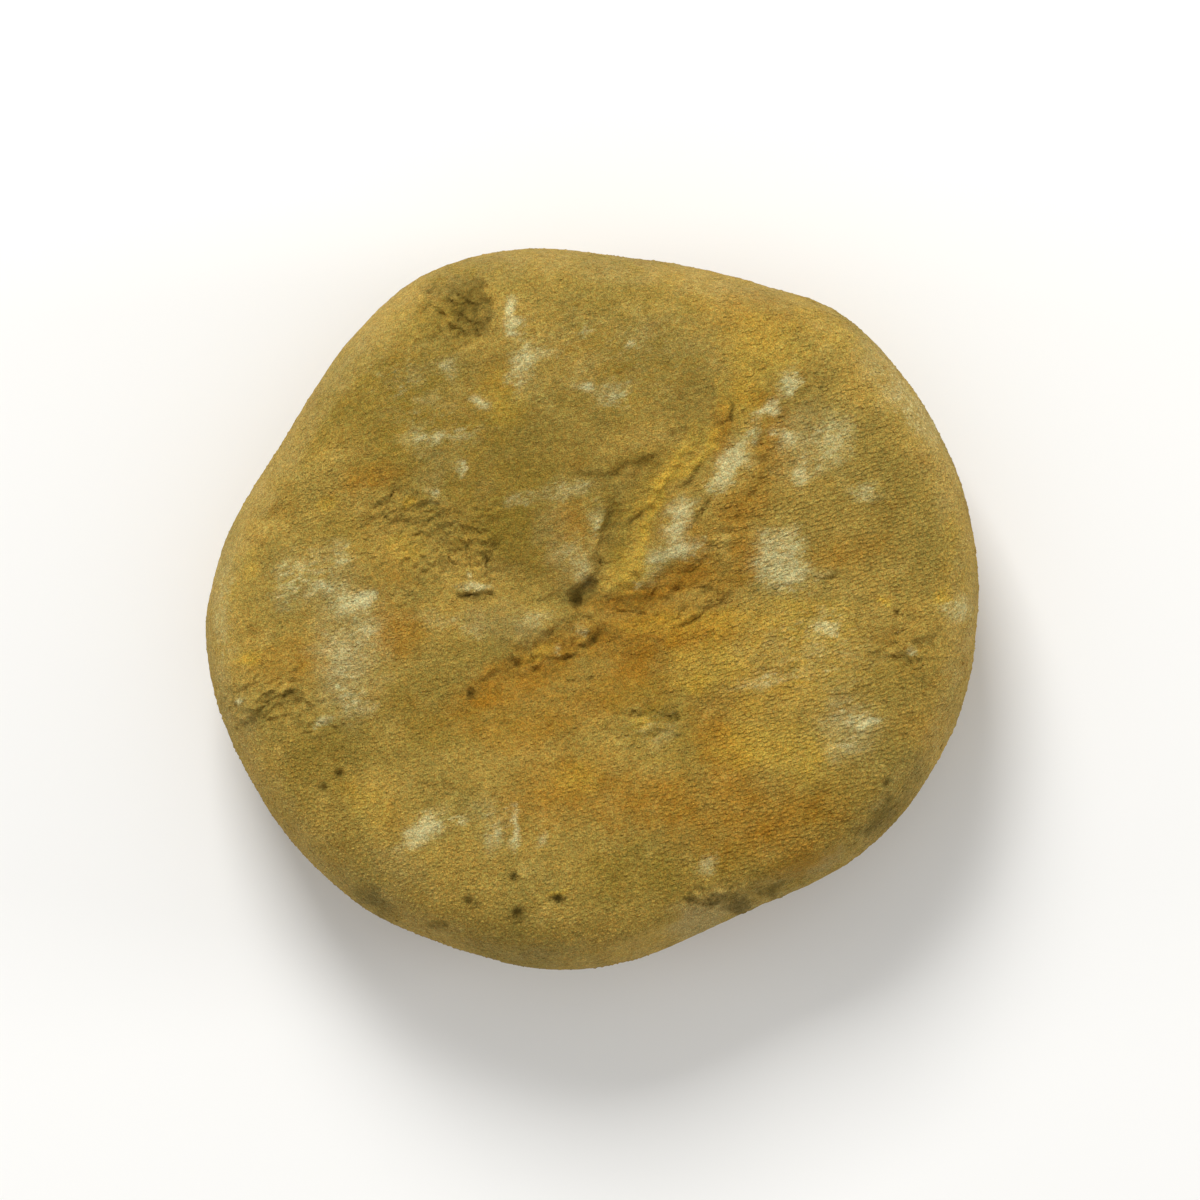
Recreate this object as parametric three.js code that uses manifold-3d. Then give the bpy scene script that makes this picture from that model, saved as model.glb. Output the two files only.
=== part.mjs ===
// Fossil sand dollar: one worn disc of ochre stone, lying on its crown with the mouth side up.
// Millimetres, +Z up. The origin is the middle of the object's box, on the surface that it lies on.
import * as THREE from "three";
import Module from "manifold-3d";
import { mergeVertices } from "three/addons/utils/BufferGeometryUtils.js";

const { degToRad, euclideanModulo, lerp, smoothstep } = THREE.MathUtils;

// Outline seen from above: bearing in degrees from +X, and how far out the margin lies
const OUTLINE = [
  [0, 38.6], [20, 38.8], [38, 38.8], [50, 38.5], [62, 36.6], [82, 35.2], [104, 36.9],
  [118, 37.3], [132, 36.0], [146, 35.1], [157, 35.5], [170, 37.3], [184, 38.7], [205, 38.2],
  [228, 37.7], [250, 36.5], [263, 36.3], [276, 35.4], [289, 34.1], [300, 34.1], [316, 36.1], [336, 37.8],
];

// Heights above the resting face, and how far the margin and the rim rise and fall on their way round
const MARGIN_HEIGHT = 9.4;
const MARGIN_WAVE = 0.7;
const CREST_HEIGHT = 19.5;
const CREST_WAVE = 0.4;
const WAVE_BEARING = 35;
const WAVE_SHARES = [0.65, 0.35];
const DISH_DEPTH = 3.2;

// Where along a line from the middle (0) to the margin (1) the rounding starts, above and below
const CREST_REACH = 0.78;
const REST_REACH = 0.31;
const CREST_ROUNDING = 2.4;
const CROWN_ROUNDING = 2.25;

// How finely the skin is divided, and the share of it on the face, the upper margin and the crown
const SKIN_DETAIL = 19;
const FACE_END = 0.5;
const MARGIN_END = 0.74;
const CROWN_END = 0.94;

// Five food grooves from the mouth to the margin, broad and shallow
const GROOVES = [
  [[0.8, 3.0], [4.2, 9.0], [9.0, 15.0], [13.5, 20.0], [19.0, 27.0]],
  [[2.5, 0.6], [8.0, 2.0], [13.5, 2.2], [24.0, 3.2], [35.0, 2.0]],
  [[1.0, -3.5], [6.5, -7.5], [12.4, -12.0], [14.5, -18.0], [16.0, -27.0]],
  [[-2.2, -2.6], [-7.0, -6.6], [-12.0, -9.6], [-20.0, -14.0], [-29.0, -19.0]],
  [[-3.2, 1.0], [-10.0, 3.2], [-17.0, 6.5], [-24.0, 9.0], [-33.0, 11.0]],
];
const GROOVE_DEPTH = { mouth: 1.1, margin: 0.35 };
const GROOVE_WIDTH = { mouth: 2.3, margin: 4.2 };

// Narrow swells (height above 0) and troughs (below 0) beside the grooves
const RIDGES = [
  { route: [[0.2, -1.3], [-3.1, -4.2], [-7.0, -5.3]], width: 0.9, height: 0.9 },
  { route: [[8.6, -0.1], [10.4, 0.7], [12.2, 1.6]], width: 0.8, height: 0.8 },
  { route: [[5.0, 2.2], [8.5, 6.5], [12.0, 11.5], [15.5, 17.0], [18.0, 20.5]], width: 1.6, height: 0.5 },
  { route: [[3.0, 0.8], [9.8, 3.2], [14.8, 9.0], [17.3, 16.0]], width: 1.5, height: -0.5 },
];

// Ledges where a lobe or a crust of stone breaks off: the high side is on the left of the route
const LEDGES = [
  { route: [[0.5, 2.8], [0.5, 5.0], [1.2, 9.0], [1.7, 12.0]], rise: 0.9, reach: 2.5 },
  { route: [[-1.0, 12.3], [2.3, 13.0], [5.0, 14.7], [9.8, 17.9]], rise: 0.9, reach: 2.5 },
  { route: [[11.5, 17.2], [8.5, 13.3], [6.3, 10.8], [4.6, 4.6]], rise: 0.8, reach: 2.5 },
  { route: [[-12.0, -8.0], [-8.2, -5.4], [-6.4, -4.2], [-3.2, -1.6]], rise: 1.0, reach: 2.5 },
  { route: [[0.4, -6.7], [-2.2, -7.0], [-5.7, -8.4], [-8.3, -9.3], [-12.0, -11.5]], rise: 0.7, reach: 3 },
  { route: [[15.0, 1.7], [20.0, 2.5], [25.0, 3.4]], rise: 0.5, reach: 2.5 },
  { route: [[-14.5, 1.4], [-10.4, 1.6], [-10.5, 4.3], [-9.2, 7.0], [-12.0, 11.0]], rise: 1.1, reach: 4 },
  { route: [[-35.2, -12.0], [-32.4, -9.2], [-28.9, -8.5], [-27.3, -9.8]], rise: 1.3, reach: 2.5 },
  { route: [[30.0, -5.0], [32.3, -3.6], [34.3, -2.1]], rise: 0.8, reach: 1.8 },
];
const LEDGE_EDGE = 0.5;

// Mouth: an oval pit, its long axis turned from +X
const MOUTH = { at: [-0.8, 1.5], halfLength: 2.0, halfWidth: 1.1, depth: 2.4, bearing: 36 };

// Spalled hollow near the upper-left margin, made of scoops that run into each other
const SPALLS = [
  { at: [-12.7, 29.4], halfLength: 3.7, halfWidth: 2.2, depth: 1.2, bearing: 98 },
  { at: [-15.2, 30.2], halfLength: 2.6, halfWidth: 2.2, depth: 0.9, bearing: 40 },
  { at: [-13.2, 26.9], halfLength: 2.0, halfWidth: 1.3, depth: 0.7, bearing: 20 },
];

// Small round pits bored into the face
const PITS = [
  { at: [-7.6, -26.9], radius: 0.6 },
  { at: [-3.4, -28.9], radius: 0.65 },
  { at: [-7.4, -30.3], radius: 0.65 },
  { at: [-12.2, -29.0], radius: 0.7 },
  { at: [-12.1, -8.6], radius: 0.7 },
  { at: [-25.1, -16.4], radius: 0.6 },
  { at: [13.8, 20.0], radius: 0.7 },
  { at: [11.3, 9.7], radius: 0.6 },
  { at: [24.6, 3.4], radius: 0.6 },
  { at: [7.8, -10.9], radius: 0.6 },
];

// Flat break along the lower-right margin: its outward bearing, lean from upright and distance out
const BREAK = { bearing: -65.7, lean: 22.6, distance: 34.6 };

// Petals on the crown, one behind each groove: how far out they start and end, and where they leave the flat
const PETAL = { depth: 1.5, width: 2.6, start: 6, end: 33, fadeIn: 0.3 };

// Places closer together than this are one corner of the skin
const SAME_CORNER = 1e-5;

const STONE = new THREE.MeshStandardMaterial({ color: 0x9a7f3d, roughness: 0.88, metalness: 0 });

// Distance from the middle to the margin on a bearing, on a smooth closed line through OUTLINE
function marginRadius(bearing) {
  const degrees = euclideanModulo(THREE.MathUtils.radToDeg(bearing), 360);
  const count = OUTLINE.length;
  const point = (index) => {
    const [angle, radius] = OUTLINE[euclideanModulo(index, count)];
    return [angle + 360 * Math.floor(index / count), radius];
  };
  const next = OUTLINE.findIndex(([angle]) => angle > degrees);
  const start = (next < 0 ? count : next) - 1;
  const [before, from, to, after] = [-1, 0, 1, 2].map((step) => point(start + step));
  const span = to[0] - from[0];
  const u = (degrees - from[0]) / span;
  const slopeFrom = ((to[1] - before[1]) / (to[0] - before[0])) * span;
  const slopeTo = ((after[1] - from[1]) / (after[0] - from[0])) * span;
  const bend = 3 * (to[1] - from[1]) - 2 * slopeFrom - slopeTo;
  const twist = 2 * (from[1] - to[1]) + slopeFrom + slopeTo;
  return from[1] + u * (slopeFrom + u * (bend + u * twist));
}

// Smooth run of short straight steps through the points of a route
function smoothRoute(points) {
  const STEPS_PER_SPAN = 6;
  const curve = new THREE.SplineCurve(points.map(([x, y]) => new THREE.Vector2(x, y)));
  return curve.getPoints(STEPS_PER_SPAN * (points.length - 1));
}

// Nearest place on a route: how far off, on which side (+1 left of its run), and its share of the way along
function nearestOnRoute(route, place) {
  const best = { gap: Infinity, side: 1, share: 0 };
  for (let i = 0; i + 1 < route.length; i += 1) {
    const run = route[i + 1].clone().sub(route[i]);
    const offset = place.clone().sub(route[i]);
    const along = THREE.MathUtils.clamp(offset.dot(run) / run.lengthSq(), 0, 1);
    const gap = offset.clone().addScaledVector(run, -along).length();
    if (gap < best.gap) {
      best.gap = gap;
      best.side = Math.sign(run.cross(offset)) || 1;
      best.share = (i + along) / (route.length - 1);
    }
  }
  return best;
}

const bell = (gap, width) => Math.exp(-((gap / width) ** 2));

const groovePaths = GROOVES.map(smoothRoute);
const ridges = RIDGES.map((ridge) => ({ ...ridge, path: smoothRoute(ridge.route) }));
const ledges = LEDGES.map((ledge) => ({ ...ledge, path: smoothRoute(ledge.route) }));

// How far the food grooves sink the face at a place
function grooveRelief(place) {
  const sinks = groovePaths.map((path) => {
    const { gap, share } = nearestOnRoute(path, place);
    const depth = lerp(GROOVE_DEPTH.mouth, GROOVE_DEPTH.margin, share);
    const width = lerp(GROOVE_WIDTH.mouth, GROOVE_WIDTH.margin, share);
    return depth * bell(gap, width);
  });
  return -Math.max(...sinks);
}

// How far the narrow swells and troughs lift the face at a place
function ridgeRelief(place) {
  const lift = ({ path, width, height }) => height * bell(nearestOnRoute(path, place).gap, width);
  return ridges.reduce((sum, ridge) => sum + lift(ridge), 0);
}

// How far the ledges lift (high side) or sink (low side) the face at a place
function ledgeRelief(place) {
  const END_TAPER = 0.15;
  const lift = ({ path, rise, reach }) => {
    const { gap, side, share } = nearestOnRoute(path, place);
    const ends = smoothstep(share, 0, END_TAPER) * smoothstep(1 - share, 0, END_TAPER);
    return 0.5 * rise * side * ends * smoothstep(gap, 0, LEDGE_EDGE) * Math.exp(-gap / reach);
  };
  return ledges.reduce((sum, ledge) => sum + lift(ledge), 0);
}

// Gentle rise and fall round the fossil, from -1 to 1
function wave(place) {
  const bearing = place.angle();
  const [twofold, threefold] = WAVE_SHARES;
  return twofold * Math.cos(2 * (bearing - degToRad(WAVE_BEARING))) + threefold * Math.cos(3 * bearing);
}

const marginHeight = (place) => MARGIN_HEIGHT + MARGIN_WAVE * wave(place);

// Height of the mouth side before the pits, at a place and its reach from the middle (0) to the margin (1)
function faceHeight(place, reach) {
  const relief = grooveRelief(place) + ridgeRelief(place) + ledgeRelief(place);
  const rim = CREST_HEIGHT + CREST_WAVE * wave(place) * Math.min(1, reach / CREST_REACH) ** 2;
  const dish = 0.5 * DISH_DEPTH * (1 + Math.cos(Math.PI * Math.min(1, reach / CREST_REACH)));
  const round = Math.max(0, (reach - CREST_REACH) / (1 - CREST_REACH));
  const shoulder = Math.max(0, 1 - round ** CREST_ROUNDING) ** (1 / CREST_ROUNDING);
  return lerp(marginHeight(place), rim - dish + relief, shoulder);
}

// Height of the low crown below, flat in the middle where it is worn, with shallow petals on its slope
function crownHeight(place, reach) {
  const round = Math.max(0, (reach - REST_REACH) / (1 - REST_REACH));
  const bulge = Math.max(0, 1 - round ** CROWN_ROUNDING) ** (1 / CROWN_ROUNDING);
  const slope = marginHeight(place) * (1 - bulge);
  const out = place.length();
  const petals = GROOVES.map((route) => {
    const [x, y] = route[route.length - 1];
    const axis = new THREE.Vector2(x, y).normalize();
    const gap = place.dot(axis) > 0 ? Math.abs(place.cross(axis)) : Infinity;
    return bell(gap, PETAL.width);
  });
  const middle = 0.5 * (PETAL.start + PETAL.end);
  const length = bell(out - middle, 0.5 * (PETAL.end - PETAL.start));
  const sunk = PETAL.depth * Math.max(...petals) * length;
  return slope + sunk * smoothstep(round, 0, PETAL.fadeIn) * (1 - round);
}

// Place on the fossil's skin that a direction from its middle leads to
function skinPoint(direction) {
  const bearing = Math.atan2(direction.y, direction.x);
  const share = 0.5 * (1 - direction.z);
  const quarter = 0.5 * Math.PI;
  let reach = 0;
  if (share < FACE_END) {
    reach = CREST_REACH * Math.sqrt(share / FACE_END);
  } else if (share < MARGIN_END) {
    const turn = (share - FACE_END) / (MARGIN_END - FACE_END);
    reach = lerp(CREST_REACH, 1, Math.sin(quarter * turn) ** (2 / CREST_ROUNDING));
  } else if (share < CROWN_END) {
    const turn = (share - MARGIN_END) / (CROWN_END - MARGIN_END);
    reach = lerp(REST_REACH, 1, Math.cos(quarter * turn) ** (2 / CROWN_ROUNDING));
  } else {
    reach = REST_REACH * Math.sqrt((1 - share) / (1 - CROWN_END));
  }
  const out = reach * marginRadius(bearing);
  const place = new THREE.Vector2(out * Math.cos(bearing), out * Math.sin(bearing));
  const height = share < MARGIN_END ? faceHeight(place, reach) : crownHeight(place, reach);
  return new THREE.Vector3(place.x, place.y, height);
}

// Presses a point that lies outside the broken margin back onto the break
function pressToBreak(point) {
  const lean = degToRad(BREAK.lean);
  const bearing = degToRad(BREAK.bearing);
  const outward = new THREE.Vector3(Math.cos(bearing), Math.sin(bearing), Math.tan(lean)).normalize();
  const foot = new THREE.Vector3(Math.cos(bearing), Math.sin(bearing), 0).multiplyScalar(BREAK.distance);
  foot.z = MARGIN_HEIGHT;
  const excess = outward.dot(point.clone().sub(foot));
  return point.addScaledVector(outward, -Math.max(0, excess));
}

// Closed skin of the fossil before its pits are sunk
function skinGeometry() {
  const geometry = new THREE.IcosahedronGeometry(1, SKIN_DETAIL);
  geometry.deleteAttribute("normal");
  geometry.deleteAttribute("uv");
  const skin = mergeVertices(geometry, SAME_CORNER);
  const position = skin.getAttribute("position");
  const direction = new THREE.Vector3();
  for (let i = 0; i < position.count; i += 1) {
    direction.fromBufferAttribute(position, i).normalize();
    const point = pressToBreak(skinPoint(direction));
    position.setXYZ(i, point.x, point.y, point.z);
  }
  return skin;
}

// Egg-shaped tool that leaves a hollow of the given plan and depth in the face
function hollowGeometry({ at, halfLength, halfWidth, depth, bearing }, detail) {
  const SINK = 0.35;
  const place = new THREE.Vector2(...at);
  const reach = place.length() / marginRadius(place.angle());
  const tall = depth / (1 - SINK);
  const plan = 1 / Math.sqrt(1 - SINK ** 2);
  const egg = new THREE.IcosahedronGeometry(1, detail);
  egg.scale(halfLength * plan, halfWidth * plan, tall);
  egg.rotateZ(degToRad(bearing));
  egg.translate(place.x, place.y, faceHeight(place, reach) + SINK * tall);
  return egg;
}

const wasm = await Module();
wasm.setup();

// Solid for cutting, from a closed geometry
function solidFrom(geometry) {
  geometry.deleteAttribute("normal");
  geometry.deleteAttribute("uv");
  const merged = mergeVertices(geometry, SAME_CORNER);
  const vertProperties = new Float32Array(merged.getAttribute("position").array);
  const triVerts = new Uint32Array(merged.getIndex().array);
  return new wasm.Manifold(new wasm.Mesh({ numProp: 3, vertProperties, triVerts }));
}

// Geometry of a finished solid, with its box centred over the origin and its lowest face at height 0
function geometryFrom(solid) {
  const { vertProperties, triVerts } = solid.getMesh();
  const geometry = new THREE.BufferGeometry();
  geometry.setAttribute("position", new THREE.BufferAttribute(vertProperties, 3));
  geometry.setIndex(new THREE.BufferAttribute(triVerts, 1));
  geometry.computeBoundingBox();
  const { min, max } = geometry.boundingBox;
  geometry.translate(-0.5 * (min.x + max.x), -0.5 * (min.y + max.y), -min.z);
  geometry.computeVertexNormals();
  return geometry;
}

// The whole fossil: its skin with the mouth, the spalled hollow and the small pits sunk in
function sandDollar() {
  const pit = ({ at, radius }) => ({ at, halfLength: radius, halfWidth: radius, depth: radius, bearing: 0 });
  const large = [MOUTH, ...SPALLS].map((hollow) => hollowGeometry(hollow, 3));
  const small = PITS.map((hole) => hollowGeometry(pit(hole), 1));
  const skin = solidFrom(skinGeometry());
  const solid = [...large, ...small].reduce((body, tool) => body.subtract(solidFrom(tool)), skin);
  const mesh = new THREE.Mesh(geometryFrom(solid), STONE);
  mesh.name = "sand_dollar";
  return mesh;
}

const fossil = new THREE.Group();
fossil.add(sandDollar());

export default fossil;
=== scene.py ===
"""Looks of a fossil sand dollar: a worn, tubercled stone disc lying mouth side up, seen from above."""

import logging
import math
from dataclasses import dataclass
from enum import Enum
from typing import Any

import bpy
import numpy as np
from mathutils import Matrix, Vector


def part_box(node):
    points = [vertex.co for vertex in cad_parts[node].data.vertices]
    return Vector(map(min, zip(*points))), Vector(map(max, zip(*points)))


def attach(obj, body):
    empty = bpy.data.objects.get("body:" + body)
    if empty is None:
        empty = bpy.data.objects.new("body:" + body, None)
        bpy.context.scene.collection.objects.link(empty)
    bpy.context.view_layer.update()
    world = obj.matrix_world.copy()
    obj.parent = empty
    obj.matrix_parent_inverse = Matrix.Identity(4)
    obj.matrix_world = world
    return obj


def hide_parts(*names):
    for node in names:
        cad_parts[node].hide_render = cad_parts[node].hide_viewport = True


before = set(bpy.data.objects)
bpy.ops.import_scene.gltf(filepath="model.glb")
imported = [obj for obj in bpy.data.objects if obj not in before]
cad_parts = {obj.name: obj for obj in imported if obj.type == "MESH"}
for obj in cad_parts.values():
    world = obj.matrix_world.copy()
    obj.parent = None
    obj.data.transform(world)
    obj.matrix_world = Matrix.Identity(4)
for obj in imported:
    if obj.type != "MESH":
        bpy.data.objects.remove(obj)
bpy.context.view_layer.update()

Array = np.ndarray
Points = tuple[tuple[float, float], ...]

log = logging.getLogger("sand_dollar")

NODE = "sand_dollar"
BODY = "root"

# Metres in a millimetre: the fossil's sizes below are in millimetres, from the middle of its resting face
MM = 0.001

# The grain of the stone runs up to the right by this angle, and places are squeezed along it by this share,
# so that noise read there is longer than wide
STREAK_BEARING = math.radians(20.0)
STREAK_SQUEEZE = 0.45

# How far a tubercle's ball sinks into the skin as a share of its half height, how broad the ball is for its
# radius, and by how much its length, breadth and rise vary
TUBERCLE_SUNK = 0.4
TUBERCLE_BREADTH = 0.9
LEAST_TUBERCLE = (0.6, 0.5, 0.3)
MOST_TUBERCLE = (1.4, 1.3, 1.3)

# Depth of a round pit as a share of its radius
PIT_DEPTH = 0.8


class Mask(Enum):
    """Named fields that the skin carries at its corners, from 0 to 1."""

    TUBERCLE = "tubercle"
    CROWN_TUBERCLE = "crown_tubercle"
    TIP = "tip"
    CRUST = "crust"
    FREE = "free"
    HOLLOW = "hollow"
    CHALK = "chalk"
    OCHRE = "ochre"
    YELLOW = "yellow"
    # Olive stains, and painted shade
    OLIVE_AND_SHADE = "olive"
    GREY = "grey"
    # Grime, and painted shade along ledges and cracks and in hollows
    SHADE_AND_GRIME = "grime"


def smooth_step(value: Array, low: float, high: float) -> Array:
    """Eases a value from 0 at low to 1 at high.

    Args:
        value: Values to ease.
        low: Where the step starts.
        high: Where the step ends.

    Returns:
        The eased values, from 0 to 1.
    """
    share = np.clip((value - low) / (high - low), 0.0, 1.0)
    return share * share * (3.0 - 2.0 * share)


def bell(gap: Array, width: Any) -> Array:
    """Returns a soft bell of a distance: 1 at no distance, about a third at one width."""
    return np.exp(-((gap / width) ** 2))


@dataclass(frozen=True)
class Ripple:
    """Seeded smooth noise over the plan, made of plane waves of about one length.

    Attributes:
        length: Wave length in millimetres.
        seed: Seed of the waves' directions and phases.
        waves: How many waves are added up.
    """

    length: float
    seed: int
    waves: int = 22
    SHORTEST = 0.65
    LONGEST = 1.6

    def at(self, x: Array, y: Array) -> Array:
        """Finds the noise at places in plan.

        Args:
            x: Places across the plan.
            y: Places up the plan.

        Returns:
            The noise, about -1 to 1 and rarely past 2.
        """
        draw = np.random.default_rng(self.seed)
        total = np.zeros_like(x)
        for _ in range(self.waves):
            bearing, phase = draw.uniform(0.0, math.tau, 2)
            pace = math.tau / (self.length * draw.uniform(self.SHORTEST, self.LONGEST))
            total += np.cos(pace * (x * math.cos(bearing) + y * math.sin(bearing)) + phase)
        return total / math.sqrt(0.5 * self.waves)


@dataclass(frozen=True)
class Outline:
    """Closed line of the margin seen from above.

    Attributes:
        points: Bearing in degrees from +X, and how far out the margin lies in millimetres.
    """

    points: Points = (
        (0, 38.6), (20, 38.8), (38, 38.8), (50, 38.5), (62, 36.6), (82, 35.2), (104, 36.9), (118, 37.3),
        (132, 36), (146, 35.1), (157, 35.5), (170, 37.3), (184, 38.7), (205, 38.2), (228, 37.7),
        (250, 36.5), (263, 36.3), (276, 35.4), (289, 34.1), (300, 34.1), (316, 36.1), (336, 37.8),
    )

    def radius(self, bearing: Array) -> Array:
        """Finds how far out the margin lies.

        Args:
            bearing: Bearings in radians from +X.

        Returns:
            Distances from the middle in millimetres, on a smooth line through the points.
        """
        degrees = np.degrees(bearing) % 360.0
        angle, out = np.array(self.points, float).T
        angle = np.concatenate([angle[-1:] - 360.0, angle, angle[:2] + 360.0])
        out = np.concatenate([out[-1:], out, out[:2]])
        start = np.searchsorted(angle, degrees, side="right") - 1
        slope = np.zeros_like(out)
        slope[1:-1] = (out[2:] - out[:-2]) / (angle[2:] - angle[:-2])
        span = angle[start + 1] - angle[start]
        share = (degrees - angle[start]) / span
        rise_from = slope[start] * span
        rise_to = slope[start + 1] * span
        change = out[start + 1] - out[start]
        bend = 3.0 * change - 2.0 * rise_from - rise_to
        twist = rise_from + rise_to - 2.0 * change
        return out[start] + share * (rise_from + share * (bend + share * twist))


@dataclass(frozen=True)
class Route:
    """Smooth line over the face through a few points.

    Attributes:
        points: Points in millimetres.
        steps: Straight steps between one point and the next.
    """

    points: Points
    steps: int = 6

    def line(self) -> Array:
        """Draws the smooth line.

        Returns:
            A row of points along it, in millimetres.
        """
        points = np.array(self.points, float)
        padded = np.concatenate([points[:1], points, points[-1:]])
        rows = []
        for before, start, end, after in zip(padded, padded[1:], padded[2:], padded[3:]):
            for share in np.arange(self.steps) / self.steps:
                rise_from = 0.5 * (end - before)
                rise_to = 0.5 * (after - start)
                bend = 3.0 * (end - start) - 2.0 * rise_from - rise_to
                twist = rise_from + rise_to - 2.0 * (end - start)
                rows.append(start + share * (rise_from + share * (bend + share * twist)))
        return np.array([*rows, points[-1]])

    def nearest(self, x: Array, y: Array) -> tuple[Array, Array, Array]:
        """Finds the nearest place on the line.

        Args:
            x: Places across the plan.
            y: Places up the plan.

        Returns:
            How far off the line each place is, its side (+1 left of the line's run) and its share of the way.
        """
        line = self.line()
        runs = np.diff(line, axis=0)
        gap = np.full(x.shape, np.inf)
        side = np.ones_like(x)
        share = np.zeros_like(x)
        for index, (start, run) in enumerate(zip(line, runs)):
            off_x = x - start[0]
            off_y = y - start[1]
            along = np.clip((off_x * run[0] + off_y * run[1]) / (run @ run), 0.0, 1.0)
            away = np.hypot(off_x - along * run[0], off_y - along * run[1])
            near = away < gap
            gap = np.where(near, away, gap)
            side = np.where(near, np.sign(run[0] * off_y - run[1] * off_x), side)
            share = np.where(near, (index + along) / len(runs), share)
        return gap, side, share

    def close_by(self, x: Array, y: Array, reach: float) -> Array:
        """Picks the places near the line.

        Args:
            x: Places across the plan.
            y: Places up the plan.
            reach: How far the line's box is grown, in millimetres.

        Returns:
            True for the places inside that box.
        """
        line = self.line()
        low = line.min(0) - reach
        high = line.max(0) + reach
        return (x > low[0]) & (x < high[0]) & (y > low[1]) & (y < high[1])


@dataclass(frozen=True)
class Groove:
    """Broad food groove that runs from the mouth to the margin."""

    route: Route
    mouth_depth: float = 1.1
    margin_depth: float = 0.35
    mouth_width: float = 2.3
    margin_width: float = 4.2

    def depth(self, x: Array, y: Array) -> Array:
        """Finds how far the groove sinks the face.

        Args:
            x: Places across the plan.
            y: Places up the plan.

        Returns:
            Depths in millimetres.
        """
        gap, _, share = self.route.nearest(x, y)
        deep = self.mouth_depth + (self.margin_depth - self.mouth_depth) * share
        wide = self.mouth_width + (self.margin_width - self.mouth_width) * share
        return deep * bell(gap, wide)


@dataclass(frozen=True)
class Ridge:
    """Narrow swell (height above 0), or trough or crack (below 0), along a route."""

    route: Route
    width: float
    height: float
    REACH = 3.0

    def lift(self, x: Array, y: Array) -> Array:
        """Finds how far the ridge lifts the face.

        Args:
            x: Places across the plan.
            y: Places up the plan.

        Returns:
            Heights in millimetres, below 0 in a trough.
        """
        lifted = np.zeros_like(x)
        near = self.route.close_by(x, y, self.REACH * self.width)
        gap, _, _ = self.route.nearest(x[near], y[near])
        lifted[near] = self.height * bell(gap, self.width)
        return lifted


@dataclass(frozen=True)
class Ledge:
    """Step where a lobe or a crust breaks off, high on the left of its route."""

    route: Route
    rise: float
    reach: float
    edge: float = 0.18
    END_TAPER = 0.15
    REACH = 5.0

    def lift(self, x: Array, y: Array) -> Array:
        """Finds how far the ledge lifts (high side) or sinks (low side) the face.

        Args:
            x: Places across the plan.
            y: Places up the plan.

        Returns:
            Heights in millimetres.
        """
        lifted = np.zeros_like(x)
        near = self.route.close_by(x, y, self.REACH * self.reach)
        gap, side, share = self.route.nearest(x[near], y[near])
        ends = smooth_step(share, 0.0, self.END_TAPER) * smooth_step(1.0 - share, 0.0, self.END_TAPER)
        step = smooth_step(gap, 0.0, self.edge) * np.exp(-gap / self.reach)
        lifted[near] = 0.5 * self.rise * side * ends * step
        return lifted


@dataclass(frozen=True)
class Spot:
    """Oval place on the plan.

    Attributes:
        x: Middle across the plan in millimetres.
        y: Middle up the plan in millimetres.
        length: Long axis in millimetres.
        width: Short axis in millimetres.
        bearing: Degrees from +X to the long axis.
        strength: How strongly it counts, from 0 to 1.
        corner: How square it is: 2 for an oval, more for a block with rounded corners.
    """

    x: float
    y: float
    length: float
    width: float
    bearing: float = 0.0
    strength: float = 1.0
    corner: float = 2.0
    EDGE_LOSS = 0.8

    def span(self, x: Array, y: Array) -> Array:
        """Finds how far out places lie in the oval.

        Args:
            x: Places across the plan.
            y: Places up the plan.

        Returns:
            0 in its middle, 1 on its edge.
        """
        turn = math.radians(self.bearing)
        off_x = x - self.x
        off_y = y - self.y
        along = off_x * math.cos(turn) + off_y * math.sin(turn)
        across = off_y * math.cos(turn) - off_x * math.sin(turn)
        along = np.abs(along) / (0.5 * self.length)
        across = np.abs(across) / (0.5 * self.width)
        return (along**self.corner + across**self.corner) ** (1.0 / self.corner)

    def cover(self, x: Array, y: Array, fade: float) -> Array:
        """Returns how much the spot covers places; a higher fade gives a firmer edge."""
        return self.strength * np.exp(-self.EDGE_LOSS * self.span(x, y) ** (0.5 * fade * self.corner))


@dataclass(frozen=True)
class Scoop:
    """Egg-shaped hollow in the face with a crisp rim."""

    spot: Spot
    depth: float
    SINK = 0.35

    def lift(self, x: Array, y: Array) -> Array:
        """Finds how far the hollow sinks the face.

        Args:
            x: Places across the plan.
            y: Places up the plan.

        Returns:
            Heights of 0 and below, in millimetres.
        """
        span = np.minimum(self.spot.span(x, y), 1.0)
        egg = np.sqrt(1.0 - span**2 * (1.0 - self.SINK**2))
        return -self.depth * (egg - self.SINK) / (1.0 - self.SINK)


def covered(spots: tuple[Spot, ...], x: Array, y: Array, fade: float) -> Array:
    """Adds up overlapping spots.

    Args:
        spots: Spots to add up.
        x: Places across the plan.
        y: Places up the plan.
        fade: How firm the spots' edges are.

    Returns:
        How much they cover each place together, from 0 to 1.
    """
    bare = np.ones_like(x)
    for spot in spots:
        bare *= 1.0 - spot.cover(x, y, fade)
    return 1.0 - bare


def ridges(*rows: tuple[float, float, Points]) -> tuple[Ridge, ...]:
    """Returns ridges from rows of width, height and route points."""
    return tuple(Ridge(Route(points), width, height) for width, height, points in rows)


def ledges(*rows: tuple[float, float, Points]) -> tuple[Ledge, ...]:
    """Returns ledges from rows of rise, reach and route points."""
    return tuple(Ledge(Route(points), rise, reach) for rise, reach, points in rows)


def spots(*rows: tuple[float, ...]) -> tuple[Spot, ...]:
    """Returns spots from rows of x, y, length, width, bearing, strength and squareness."""
    return tuple(Spot(*row) for row in rows)


def round_pits(*rows: tuple[float, float, float]) -> tuple[Scoop, ...]:
    """Returns round pits from rows of x, y and radius."""
    return tuple(Scoop(Spot(x, y, 2.0 * radius, 2.0 * radius), PIT_DEPTH * radius) for x, y, radius in rows)


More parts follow.
